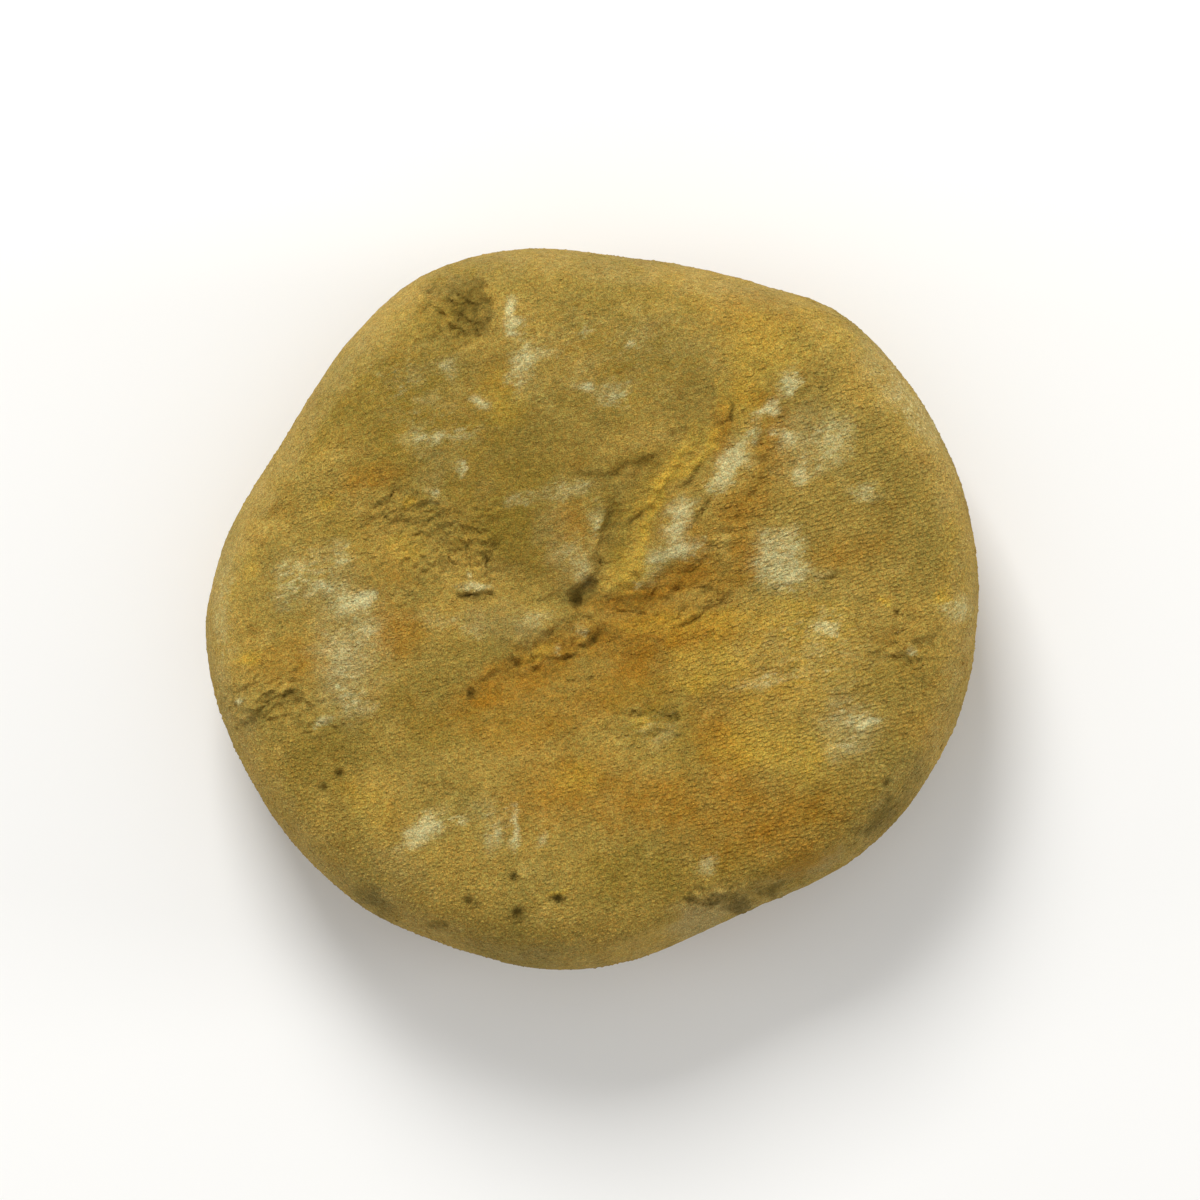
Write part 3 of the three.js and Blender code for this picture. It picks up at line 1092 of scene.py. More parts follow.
@dataclass(frozen=True)
class StoneFinish:
    """Weathered ochre stone with stains, chalky scuffs, grime, and painted shade along its ledges and cracks
    and in its hollows.

    Attributes:
        patchy: Effect that breaks a soft mask into patches.
        grain: Fine grain.
        colours: The stone's colours.
        tan: Clouds of tan on sage.
        umber: Clouds of umber on both.
        straw: Clouds of straw on all three.
        hue: Specks of a cooler tint.
        stains: Patches of olive with painted shade, grey, ochre and yellow.
        haze: Patches of thin chalk.
        flecks: Patches of firm chalk.
        shade_and_dirt: Patches of grime and painted shade.
        deep: How hollow a place is where the painted shade of hollows begins and where it is fullest.
        deep_most: How much painted shade a hollow adds.
        grain_scale: Coarse grains in a metre.
        grain_seed: Seed of the grain.
        grit_depth: Depth of the grit in millimetres.
        speckle: Darkest and lightest shade of the fine grain.
        dust: Darkest and lightest shade of the dust.
        mottle: Darkest and lightest shade of the coarse grain.
        tip_wear_and_highlight: Shade of bare stone and of a tubercle's foot, and how much lighter a
            tubercle's tip is, partly worn pale and partly a painted highlight.
    """

    patchy: bpy.types.NodeTree
    grain: bpy.types.NodeTree
    colours: StoneColours = StoneColours()
    tan: Clouds = Clouds(110.0, 1.0, 0.36, 0.64, roughness=0.62)
    umber: Clouds = Clouds(260.0, 2.0, 0.5, 0.78, 0.7)
    straw: Clouds = Clouds(330.0, 4.0, 0.52, 0.78, 0.7)
    hue: Clouds = Clouds(4200.0, 9.0, 0.35, 0.65, roughness=0.6, detail=2.0)
    stains: tuple[Patches, ...] = (
        Patches(240.0, 5.0), Patches(300.0, 6.0), Patches(420.0, 7.0), Patches(420.0, 8.0, most=0.7))
    haze: Patches = Patches(600.0, 11.0, 0.4, 2.8, 0.7)
    flecks: Patches = Patches(2000.0, 13.0, 0.5, 2.8, 0.3)
    shade_and_dirt: Patches = Patches(1100.0, 17.0, 0.75, 1.4, 0.5)
    deep: Shades = (0.6, 1.1)
    deep_most: float = 0.3
    grain_scale: float = 1500.0
    grain_seed: float = 3.0
    grit_depth: float = 0.34
    speckle: Shades = (0.78, 1.26)
    dust: Shades = (0.66, 1.38)
    mottle: Shades = (0.92, 1.08)
    tip_wear_and_highlight: Shades = (1.1, 0.18)
    GRAIN_SPAN = 0.3, 0.7
    USED = Mask.TIP, Mask.HOLLOW, Mask.CHALK, Mask.OCHRE, Mask.YELLOW, Mask.OLIVE_AND_SHADE, Mask.GREY, Mask.SHADE_AND_GRIME

    def material(self) -> bpy.types.Material:
        """Builds the stone's material.

        Returns:
            The material, which reads the skin's masks and Object coordinates.
        """
        material = bpy.data.materials.new("weathered_stone")
        material.use_nodes = True
        wiring = Wiring(material.node_tree)
        shader = material.node_tree.nodes["Principled BSDF"]
        place = wiring.add("ShaderNodeTexCoord").outputs["Object"]
        masks = {mask: self.read(wiring, mask) for mask in self.USED}
        grain = wiring.group(self.grain, Vector=place, Scale=self.grain_scale, Seed=self.grain_seed)
        colour = self.ground(wiring, place)
        colour = self.stained(wiring, place, masks, colour)
        colour = self.chalked(wiring, place, masks, colour)
        colour = self.grained(wiring, place, grain, masks, colour)
        colour = self.soiled_and_shaded(wiring, place, masks, colour)
        spread = self.colours.roughness_spread
        least = self.colours.roughness - 0.5 * spread
        rough = wiring.math("MULTIPLY_ADD", grain.outputs["Coarse"], spread, least)
        half = wiring.math("MULTIPLY", grain.outputs["Fine"], 0.5)
        grit = wiring.math("MULTIPLY_ADD", grain.outputs["Dust"], 0.5, half)
        feeds = {"Strength": 1.0, "Distance": self.grit_depth * MM, "Height": grit}
        bump = wiring.add("ShaderNodeBump", feeds)
        wiring.feed(shader.inputs["Base Color"], colour)
        wiring.feed(shader.inputs["Roughness"], rough)
        wiring.feed(shader.inputs["Specular IOR Level"], self.colours.specular)
        wiring.feed(shader.inputs["Normal"], bump.outputs["Normal"])
        return material

    @staticmethod
    def read(wiring: Wiring, mask: Mask) -> bpy.types.NodeSocket:
        """Returns one of the skin's masks as a socket."""
        return wiring.add("ShaderNodeAttribute", attribute_name=mask.value).outputs["Fac"]

    def ground(self, wiring: Wiring, place: Any) -> bpy.types.NodeSocket:
        """Mixes the bare stone's colour from clouds of tan, sage, umber and straw.

        Args:
            wiring: The material's wiring.
            place: Where the clouds are read.

        Returns:
            The colour.
        """
        codes = self.colours
        colour = wiring.blend(self.tan.cover(wiring, place), tone(codes.sage), tone(codes.tan))
        for clouds, code in ((self.umber, codes.umber), (self.straw, codes.straw)):
            colour = wiring.blend(clouds.cover(wiring, place), colour, tone(code))
        return colour

    def stained(self, wiring: Wiring, place: Any, masks: Masks, colour: Any) -> bpy.types.NodeSocket:
        """Lays olive, grey, ochre and yellow stains over a colour; the olive also paints shade.

        Args:
            wiring: The material's wiring.
            place: Where patches are read.
            masks: The skin's masks.
            colour: The colour below.

        Returns:
            The stained colour.
        """
        codes = self.colours
        kinds = (
            (Mask.OLIVE_AND_SHADE, codes.olive), (Mask.GREY, codes.grey),
            (Mask.OCHRE, codes.ochre), (Mask.YELLOW, codes.yellow),
        )
        for (mask, code), stain in zip(kinds, self.stains):
            cover = stain.cover(wiring, self.patchy, place, masks[mask])
            colour = wiring.blend(cover, colour, tone(code))
        return colour

    def chalked(self, wiring: Wiring, place: Any, masks: Masks, colour: Any) -> bpy.types.NodeSocket:
        """Lays a haze and flecks of chalk over a colour.

        Args:
            wiring: The material's wiring.
            place: Where patches are read.
            masks: The skin's masks.
            colour: The colour below.

        Returns:
            The chalky colour.
        """
        streaked = streaky(wiring, place)
        for chalk in (self.haze, self.flecks):
            cover = chalk.cover(wiring, self.patchy, streaked, masks[Mask.CHALK])
            colour = wiring.blend(cover, colour, tone(self.colours.chalk))
        return colour

    def grained(
            self, wiring: Wiring, place: Any, grain: bpy.types.Node, masks: Masks,
            colour: Any) -> bpy.types.NodeSocket:
        """Adds a fine speckle of light, dark, orange and green, and paler tubercle tips, partly worn and
        partly a painted highlight.

        Args:
            wiring: The material's wiring.
            place: Where the speckle's hue is read.
            grain: The placed grain.
            masks: The skin's masks.
            colour: The colour below.

        Returns:
            The grained colour.
        """
        hue = self.hue.cover(wiring, place)
        tint = wiring.blend(hue, tone(self.colours.warm), tone(self.colours.cool))
        colour = wiring.blend(1.0, colour, tint, "MULTIPLY")
        # Tubercle tops lighter: partly wear, partly a painted highlight
        foot, gain = self.tip_wear_and_highlight
        shade = wiring.math("MULTIPLY_ADD", masks[Mask.TIP], gain, foot)
        for name, ends in (("Coarse", self.mottle), ("Fine", self.speckle), ("Dust", self.dust)):
            shade = wiring.math("MULTIPLY", shade, wiring.ease(grain.outputs[name], *self.GRAIN_SPAN, *ends))
        return wiring.add("ShaderNodeVectorMath", {0: colour, "Scale": shade}, operation="SCALE").outputs[0]

    def soiled_and_shaded(self, wiring: Wiring, place: Any, masks: Masks, colour: Any) -> bpy.types.NodeSocket:
        """Lays grime and painted shadows over a colour, and a little painted shade in every hollow.

        Args:
            wiring: The material's wiring.
            place: Where patches are read.
            masks: The skin's masks.
            colour: The colour below.

        Returns:
            The colour with its grime and painted shade.
        """
        # Painted shade: every hollow is darkened a little with the dark colour
        deep = wiring.ease(masks[Mask.HOLLOW], *self.deep, 0.0, self.deep_most)
        # Drawn grime and painted shadows, with the hollows' painted shade, in the dark colour
        darkened = wiring.math("ADD", masks[Mask.SHADE_AND_GRIME], deep, clamp=True)
        cover = self.shade_and_dirt.cover(wiring, self.patchy, place, darkened)
        return wiring.blend(cover, colour, tone(self.colours.grime))


@dataclass(frozen=True)
class ReliefSizes:
    """Sizes of the small relief that covers the skin, in millimetres, and its seed."""

    crust_height: float = 2.0
    crust_size: float = 0.7
    swell_height: float = 0.7
    swell_size: float = 7.0
    grain_height: float = 0.3
    grain_size: float = 0.5
    seed: float = 4.0


def end_tree(wiring: Wiring, shape: Any, given: bpy.types.Node, result: bpy.types.Node) -> None:
    """Ends a geometry tree: makes its instances real and sets its material.

    Args:
        wiring: The tree's wiring.
        shape: What the tree has made so far.
        given: The tree's input node.
        result: The tree's output node.
    """
    real = wiring.add("GeometryNodeRealizeInstances", {0: shape})
    feeds = {"Geometry": real.outputs[0], "Material": given.outputs["Material"]}
    wiring.feed(result.inputs["Geometry"], wiring.add("GeometryNodeSetMaterial", feeds).outputs[0])


def relief_tree() -> bpy.types.NodeTree:
    """Makes the tree that raises grain, crust and swells along the skin's normals.

    Returns:
        A geometry tree with named inputs for the sizes, the seed and the material.
    """
    sizes = "Crust height", "Crust size", "Swell height", "Swell size", "Grain height", "Grain size", "Seed"
    inputs = ("Geometry", "NodeSocketGeometry"), *((name, "NodeSocketFloat") for name in sizes)
    inputs += (("Material", "NodeSocketMaterial"),)
    outputs = (("Geometry", "NodeSocketGeometry"),)
    tree, wiring, given, result = new_group("rough skin", "GeometryNodeTree", inputs, outputs)
    tree.is_modifier = True
    place = streaky(wiring, wiring.add("GeometryNodeInputPosition").outputs[0])

    def field_of(mask: Mask) -> bpy.types.NodeSocket:
        """Returns one of the skin's masks as a field."""
        feeds = {"Name": mask.value}
        return wiring.add("GeometryNodeInputNamedAttribute", feeds, data_type="FLOAT").outputs[0]

    def lumps(kind: str, detail: float, roughness: float, shift: float) -> bpy.types.NodeSocket:
        """Makes noise of a kind's size.

        Args:
            kind: First word of the kind's inputs.
            detail: How many finer layers it has.
            roughness: How strong the finer layers are.
            shift: How far its seed lies from the tree's.

        Returns:
            Heights below and above the skin.
        """
        scale = wiring.math("DIVIDE", 1.0, given.outputs[f"{kind} size"])
        seed = wiring.math("ADD", given.outputs["Seed"], shift)
        value = wiring.noise(place, scale, detail, roughness, seed)
        return wiring.math("MULTIPLY", wiring.math("SUBTRACT", value, 0.5), given.outputs[f"{kind} height"])

    total = wiring.math("ADD", lumps("Swell", 2.0, 0.4, 0.0), lumps("Grain", 3.0, 0.6, 7.0))
    crust = wiring.math("MULTIPLY", lumps("Crust", 4.0, 0.7, 13.0), field_of(Mask.CRUST))
    total = wiring.math("MULTIPLY", wiring.math("ADD", total, crust), field_of(Mask.FREE))
    normal = wiring.add("GeometryNodeInputNormal").outputs[0]
    offset = wiring.add("ShaderNodeVectorMath", {0: normal, "Scale": total}, operation="SCALE")
    feeds = {"Geometry": given.outputs["Geometry"], "Offset": offset.outputs[0]}
    end_tree(wiring, wiring.add("GeometryNodeSetPosition", feeds).outputs[0], given, result)
    return tree


def coat_tree() -> bpy.types.NodeTree:
    """Makes the tree that sets low, rounded tubercles on the skin.

    Returns:
        A geometry tree with named inputs for where the tubercles sit, their sizes and the material.
    """
    numbers = "Radius", "Rise", "Length", "Stretch", "Row start", "Row end", "Spacing", "Closest"
    inputs = ("Geometry", "NodeSocketGeometry"), ("Cover", "NodeSocketString")
    inputs += ("Material", "NodeSocketMaterial"), *((name, "NodeSocketFloat") for name in numbers)
    inputs += (("Seed", "NodeSocketInt"),)
    outputs = (("Geometry", "NodeSocketGeometry"),)
    tree, wiring, given, result = new_group("tubercle coat", "GeometryNodeTree", inputs, outputs)
    tree.is_modifier = True
    values = given.outputs
    cover = wiring.add("GeometryNodeInputNamedAttribute", {"Name": values["Cover"]}, data_type="FLOAT")
    parts = wiring.add("ShaderNodeSeparateXYZ", {0: wiring.add("GeometryNodeInputPosition").outputs[0]})

    ball = wiring.add("GeometryNodeMeshIcoSphere", {"Radius": 1.0, "Subdivisions": 1})
    sink = (0.0, 0.0, -TUBERCLE_SUNK)
    sunk = wiring.add("GeometryNodeTransform", {"Geometry": ball.outputs["Mesh"], "Translation": sink})
    # Tip runs from 0 at the skin to 1 at the ball's top; the finish paints the top lighter, partly as wear
    # and partly as a highlight
    tip = wiring.ease(parts.outputs["Z"], 0.0, 1.0 - TUBERCLE_SUNK)
    feeds = {"Geometry": sunk.outputs[0], "Name": Mask.TIP.value, "Value": tip}
    marked = wiring.add("GeometryNodeStoreNamedAttribute", feeds, data_type="FLOAT", domain="POINT")
    smooth = wiring.add("GeometryNodeSetShadeSmooth", {"Geometry": marked.outputs["Geometry"]})

    feeds = {"Mesh": values["Geometry"], "Distance Min": values["Spacing"], "Density Max": values["Closest"],
             "Density Factor": cover.outputs[0], "Seed": values["Seed"]}
    points = wiring.add("GeometryNodeDistributePointsOnFaces", feeds, distribute_method="POISSON")
    rowed = wiring.ease(parts.outputs["X"], values["Row start"], values["Row end"])
    length = wiring.math("MULTIPLY_ADD", rowed, values["Stretch"], values["Length"])
    shape = wiring.add("ShaderNodeCombineXYZ", {"X": length, "Y": TUBERCLE_BREADTH, "Z": values["Rise"]})
    feeds = {"Min": LEAST_TUBERCLE, "Max": MOST_TUBERCLE, "Seed": values["Seed"]}
    varied = wiring.add("FunctionNodeRandomValue", feeds, data_type="FLOAT_VECTOR")
    feeds = {0: shape.outputs[0], 1: varied.outputs[0]}
    uneven = wiring.add("ShaderNodeVectorMath", feeds, operation="MULTIPLY")
    feeds = {0: uneven.outputs[0], "Scale": values["Radius"]}
    scale = wiring.add("ShaderNodeVectorMath", feeds, operation="SCALE")
    turned = wiring.add("FunctionNodeEulerToRotation", {0: (0.0, 0.0, STREAK_BEARING)})
    feeds = {"Rotation": turned.outputs[0], "Vector": points.outputs["Normal"]}
    upright = wiring.add("FunctionNodeAlignRotationToVector", feeds, axis="Z")
    feeds = {"Points": points.outputs["Points"], "Instance": smooth.outputs["Geometry"],
             "Rotation": upright.outputs[0], "Scale": scale.outputs[0]}
    end_tree(wiring, wiring.add("GeometryNodeInstanceOnPoints", feeds).outputs[0], given, result)
    return tree


def made_by(piece: bpy.types.Object, tree: bpy.types.NodeTree, values: dict[str, Any]) -> bpy.types.Mesh:
    """Runs a geometry tree on a piece.

    Args:
        piece: The piece that the tree reads.
        tree: The tree.
        values: Its inputs' values by name.

    Returns:
        The result as a plain mesh; the piece is left as it was.
    """
    modifier = piece.modifiers.new(tree.name, "NODES")
    modifier.node_group = tree
    for item in tree.interface.items_tree:
        if item.in_out == "INPUT" and item.name in values:
            modifier[item.identifier] = values[item.name]
    bpy.context.view_layer.update()
    depsgraph = bpy.context.evaluated_depsgraph_get()
    mesh = bpy.data.meshes.new_from_object(piece.evaluated_get(depsgraph))
    piece.modifiers.clear()
    return mesh


@dataclass(frozen=True)
class TubercleCoat:
    """Small, low tubercles on one side of the fossil, stretched into dashes towards the right.

    Attributes:
        name: The piece's name.
        where: Mask of where tubercles sit.
        radius: A tubercle's radius in millimetres.
        rise: Half height of its ball as a share of the radius.
        length: Half length of its ball as a share of the radius.
        stretch: How much is added to that share at the right.
        spacing: Least distance between tubercles in millimetres.
        closest: Most tubercles in a square metre.
        seed: Seed of their places and sizes.
        row_start: Where they begin to stretch, in millimetres across the plan.
        row_end: Where they are fully stretched.
    """

    name: str
    where: Mask
    radius: float = 0.22
    rise: float = 0.6
    length: float = 1.2
    stretch: float = 1.0
    spacing: float = 0.43
    closest: float = 2.5e7
    seed: int = 6
    row_start: float = 4.0
    row_end: float = 16.0

    def dress(self, skin: bpy.types.Object, material: bpy.types.Material) -> bpy.types.Object:
        """Sets the tubercles on the skin.

        Args:
            skin: The finished skin.
            material: The stone's material.

        Returns:
            The finished piece.
        """
        values = {
            "Cover": self.where.value, "Material": material, "Radius": self.radius * MM, "Rise": self.rise,
            "Length": self.length, "Stretch": self.stretch, "Row start": self.row_start * MM,
            "Row end": self.row_end * MM, "Spacing": self.spacing * MM, "Closest": self.closest,
            "Seed": self.seed,
        }
        mesh = made_by(skin, coat_tree(), values)
        mesh.name = self.name
        piece = bpy.data.objects.new(self.name, mesh)
        bpy.context.scene.collection.objects.link(piece)
        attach(piece, BODY)
        log.info("%s: %d corners, %d triangles", piece.name, len(mesh.vertices), len(mesh.polygons))
        return piece


@dataclass(frozen=True)
class Marking:
    """One kind of marking: ovals, and bands along routes."""

    ovals: tuple[Spot, ...]
    bands: tuple[Ridge, ...] = ()
    fade: float = 3.0

    def cover(self, x: Array, y: Array) -> Array:
        """Finds how much the ovals and bands cover places together.

        Args:
            x: Places across the plan.
            y: Places up the plan.

        Returns:
            Shares from 0 to 1.
        """
        bare = 1.0 - covered(self.ovals, x, y, self.fade)
        for band in self.bands:
            bare *= 1.0 - np.clip(band.lift(x, y), 0.0, 1.0)
        return 1.0 - bare


@dataclass(frozen=True)
class Markings:
    """Where the stone is stained, scuffed, worn, crusted and grimy, and where shade is painted on, in
    millimetres.
    """

    chalk: Marking = Marking(
        spots(
            (-8.1, 29.7, 0.8, 1.8, 0, 0.9), (-7.5, 28.1, 1.6, 1.4, 60, 0.75),
            (-6.5, 25, 1.6, 2.6, -20, 0.35), (-7.2, 23.3, 2, 3, 0, 0.3), (-14.3, 23.8, 1.2, 1.6, 30, 0.35),
            (2, 26, 24, 11, 0, 0.1), (-18, 21, 16, 9, -45, 0.12), (0, 0, 66, 62, 0, 0.06),
            (22, -4, 13, 9, 0, 0.14), (6.2, -12, 5, 3.6, 0, 0.16), (-10.8, 20.4, 1.8, 0.9, -30, 0.6),
            (-15, 17.1, 5, 1.4, 8, 0.55), (-5, 25, 3, 0.7, 20, 0.25), (-0.6, 22, 1.6, 0.8, 0, 0.9),
            (-0.5, 27.5, 1.2, 0.9, 0, 0.5), (2.2, 21, 2.6, 2.2, 30, 0.35), (3.9, 26, 1.4, 0.7, 20, 0.6),
            (-28.7, 3.3, 5.5, 4.5, 30, 0.3), (-22.6, 1, 2.6, 1, 25, 1), (-24.2, 0.7, 3.4, 2.6, 0, 0.5),
            (-25, 5, 2.2, 2.8, 0, 0.35), (-26.7, 2.2, 1.2, 1, 0, 0.7), (-30.8, 1.8, 2, 3.5, 0, 0.2),
            (-24.8, -6, 3.8, 6.4, 0, 0.3), (-23, -9.6, 2.6, 2.6, 0, 0.35), (-24.2, -3.4, 5, 2.8, 0, 0.25),
            (-22.4, -2, 2.4, 1.8, 0, 0.4), (-15, -1.2, 6, 1.6, -6, 0.15), (-11.8, -2.4, 2.6, 1.4, 0, 0.15),
            (-13, 14, 0.5, 1.6, 0, 0.5), (-5.4, -0.9, 2.8, 1.4, 10, 0.34), (-0.9, 3.8, 1.6, 2.4, -15, 0.4),
            (0.4, 8.6, 1, 3, -12, 0.45), (-7.2, 10.8, 2.4, 1, 20, 0.38), (-2.5, 5.6, 3, 2.2, 45, 0.2),
            (-2.4, 12, 4, 2, 10, 0.32), (-11.6, 2, 2.8, 0.8, 0, 0.8), (-12.1, 3.1, 0.8, 1.6, 0, 0.5),
            (-15.8, 11.4, 1.4, 0.7, -30, 0.6), (8.9, 9.7, 2.4, 2, 60, 0.65),
            (8.3, 7.8, 1.8, 2.8, -10, 0.65), (8.8, 5.8, 4, 1.5, 10, 0.7), (6.9, 5.2, 2.4, 1.3, 20, 0.5),
            (4.4, 2.3, 1.1, 0.8, 0, 0.5), (5.8, 3.4, 2.2, 1.4, 45, 0.3), (14.2, 14.8, 2.6, 2.2, 30, 0.6),
            (13.2, 12.8, 3, 1.6, 45, 0.45), (-11, -19.8, 6, 2.4, 5, 0.1), (17.4, 19.7, 2.2, 0.9, 30, 0.7),
            (19.6, 22.4, 1.6, 2.4, -20, 0.65), (19.3, 17, 2.6, 1.2, -20, 0.65),
            (20.8, 13.2, 1.3, 2.6, 0, 0.5), (23.8, 16.4, 5, 4, 60, 0.45), (18.8, 5, 4.8, 5.8, 0, 0.5, 5),
            (20.8, 3.6, 2.6, 2, 15, 0.3), (23, 3.5, 2, 1.2, 20, 0.2), (26.9, 11.5, 2.4, 1.8, 15, 0.5),
            (23.2, -1.7, 2.2, 1.6, 0, 0.65), (17, -7.2, 5, 1, 10, 0.3), (25.4, -11.2, 4, 3.6, 0, 0.3),
            (27.5, -11.3, 1.9, 0.5, 15, 0.9), (26.7, -10.6, 1.3, 0.4, 15, 0.8),
            (25.2, -13.6, 3.4, 1.6, 10, 0.4), (36.4, 0, 3.4, 2.2, 0, 0.4), (31.7, -4.2, 1.2, 0.7, -15, 0.6),
            (-16.4, -21.8, 3.4, 2.1, 25, 0.7), (-17.6, -22.8, 2, 1.4, 30, 0.3),
            (-13.2, -21, 2, 0.9, -10, 0.3), (-9.6, -22.4, 1.8, 3.2, -10, 0.42),
            (-7.6, -21.8, 0.8, 3.6, 0, 0.75), (-4.8, -22.8, 1.6, 0.9, 40, 0.6),
            (-19.2, -24.4, 1.2, 1.8, 0, 0.15), (11.6, -25.2, 2.2, 1.2, 65, 0.4),
            (-1.1, -2.4, 1.2, 1, 0, 0.5), (-3.2, -4.2, 0.9, 0.6, 20, 0.3), (-26.6, -11.3, 2, 0.7, 15, 0.6),
            (-35.2, -9.3, 0.8, 0.6, 30, 0.8), (31.5, 20.5, 13, 4, -52, 0.25), (-36.8, 0, 2.5, 15, 0, 0.2),
        ),
        ridges((0.7, 0.5, ((11.8, 11.8), (13.4, 13.9), (15.0, 16.0), (16.0, 17.6)))),
        2.0,
    )
    ochre: Marking = Marking(spots(
        (4, 1, 8, 2.4, 8, 0.9), (9.5, 3.2, 7, 2.8, 20, 0.8), (3.9, -5.2, 4.2, 3.4, 0, 0.8),
        (-7.5, -7, 16, 5, 30, 0.7), (7.5, -2.2, 17, 5, 4, 0.85), (2, -8, 16, 5, 10, 0.45),
        (16.5, -21.2, 16, 7.5, 12, 0.65), (12.8, -14, 5, 10, 20, 0.7), (15.2, 10.4, 6.5, 4, 30, 0.6),
        (17.5, 15.4, 3.6, 4.5, 0, 0.6), (12.9, 17.4, 2, 6.5, -5, 0.6), (16.5, 29.2, 13, 5, -10, 0.3),
        (15.2, 21.8, 3.5, 4, 0, 0.35), (18, 19.5, 4, 5, 0, 0.5), (8.4, 9, 4, 5, -20, 0.4),
        (17, -8, 8, 5, 10, 0.35), (4, -19.6, 7, 6, 0, 0.45), (21, -25, 6, 3, 30, 0.5),
        (13.5, 2.4, 5, 3, 15, 0.45), (15.2, 6, 3, 6, 0, 0.6), (-5, -11.8, 12, 4, 15, 0.5),
        (-3, -18, 12, 7, 20, 0.6), (-8.9, 23.6, 4, 5, 60, 0.3), (-30, -5.4, 8, 4.6, 10, 0.45),
        (-20.5, 3, 8, 5, 10, 0.25), (-22, 13, 6.5, 2.6, 15, 0.6), (-19.5, -2.5, 5, 5, 40, 0.6),
        (10.5, 6, 3.5, 5, -30, 0.5), (-2.2, 8.6, 4, 4.5, 0, 0.4), (25.5, 5.8, 8, 3, 15, 0.45),
        (22, -6.5, 7, 5, 15, 0.15), (32.5, -11.5, 7, 4, 25, 0.25), (8, -19, 6, 5, 0, 0.6),
        (-10.9, -9.2, 1.8, 1.4, 0, 0.9), (-12.5, 20, 8, 4, 20, 0.2),
    ))
    yellow: Marking = Marking(
        spots(
            (-18.5, 6.2, 4, 3.4, 0, 0.5), (17, 26, 9, 6, -10, 0.45), (14.8, 21.2, 4.5, 6, 0, 0.5),
            (17, -9, 6, 4, 0, 0.3), (-1.6, -16.6, 6, 4, 0, 0.35), (29, 0.6, 1.2, 0.8, 0, 0.9),
            (24, 16, 5.5, 4.5, 0, 0.2), (24, -1.6, 6, 5, 0, 0.4), (21, -14.6, 6, 6, 0, 0.5),
            (-9, 21, 5, 6, 0, 0.4), (-34.6, 4.5, 4, 8, 0, 0.2), (36, 5, 3, 11, 0, 0.3),
            (-19, 16.6, 4, 3, 0, 0.3), (9, -1.4, 13, 2.6, 5, 0.45), (23.5, 28.2, 9, 3, -40, 0.35),
            (34.7, 1, 1.6, 1.4, 30, 0.7), (-26.2, 10.4, 2.2, 1.3, 10, 0.5),
            (-18.5, 10.4, 1.6, 0.9, 45, 0.8), (4.2, 3.2, 4, 2.4, 30, 0.65), (12, -5.5, 9, 5, 10, 0.6),
            (18, -1, 10, 5, 5, 0.35), (15.5, -13.5, 7, 5, 10, 0.6), (-34, -5, 3, 1.5, 20, 0.7),
            (-5.5, -4.6, 4, 1.4, 35, 0.5), (22, -6, 7, 7, 0, 0.4), (-22.5, -19, 8, 4, -30, 0.25),
            (-3.4, -28.1, 2.4, 0.7, 10, 0.6), (10.2, -7.6, 3, 2, 0, 0.6), (4.9, -11.4, 2.4, 1, 10, 0.7),
            (-36.5, -1.5, 3, 9, 0, 0.2),
        ),
        ridges(
            (0.45, 0.8, (
                (4.7, 4.0), (5.0, 6.5), (5.6, 8.8), (6.2, 10.5), (7.0, 12.4), (8.3, 14.3), (9.6, 15.8))),
            (0.45, 0.7, ((6.2, 10.5), (6.9, 11.8), (8.8, 13.4), (10.4, 14.4), (11.6, 15.9), (12.3, 17.4))),
            (1.8, 0.45, ((2.4, 3.4), (4.2, 6.5), (5.4, 11.4), (8.2, 14.0), (10.6, 17.0))),
        ),
    )
    # Olive stains, and painted shade on the upper left of the dish and along the lower rim
    olive: Marking = Marking(spots(
        (-0.6, 29.4, 8, 5, 0, 0.35), (7.2, 30.8, 8, 4, -10, 0.35), (-2.6, 4.8, 3, 3, 0, 0.35),
        (2.4, 4.4, 3, 3, 0, 0.35), (-11, -2.7, 9, 5, 25, 0.3), (27, -23.2, 8, 4, 40, 0.5),
        (-12, 16, 24, 15, -35, 0.7), (4, 22.5, 14, 8, 0, 0.5), (-6, 6, 8, 8, 40, 0.6),
        (-9.5, 9, 9, 6, 10, 0.6), (2.2, 7.6, 2.6, 7, 10, 0.4), (5, 14.8, 5.5, 1.8, 15, 0.5),
        (28, -6, 12, 6, 20, 0.4), (-27, -14.5, 10, 7, 30, 0.5), (4.5, -26.2, 13, 6.5, 0, 0.65),
        (19, -26.5, 9, 3.5, 25, 0.7), (-9, -32.5, 20, 5, -12, 0.25), (24, -19, 8, 5, 35, 0.4),
        (6.5, -11.5, 7, 5.5, 0, 0.6), (-13.4, 30.4, 7.4, 7.4, 0, 0.45), (-12, -12.5, 16, 4.5, 10, 0.5),
        (4, -9, 9, 5, 0, 0.7), (9, -15, 6, 6, 0, 0.4), (-30.5, -20.5, 9, 5, -55, 0.3),
        (-20.5, 20, 10, 9, 45, 0.6), (-24.6, 7.6, 6, 4, 0, 0.4), (-17, -9.5, 11, 6, 15, 0.4),
        (-27.5, 17.5, 7, 5, 45, 0.4), (-12.6, 33.6, 8, 2.4, 12, 0.85), (-11, -1.6, 7, 3, 0, 0.35),
        (13.4, -25, 6, 4, 10, 0.5), (30.5, -20.5, 10, 3, 55, 0.6),
    ))
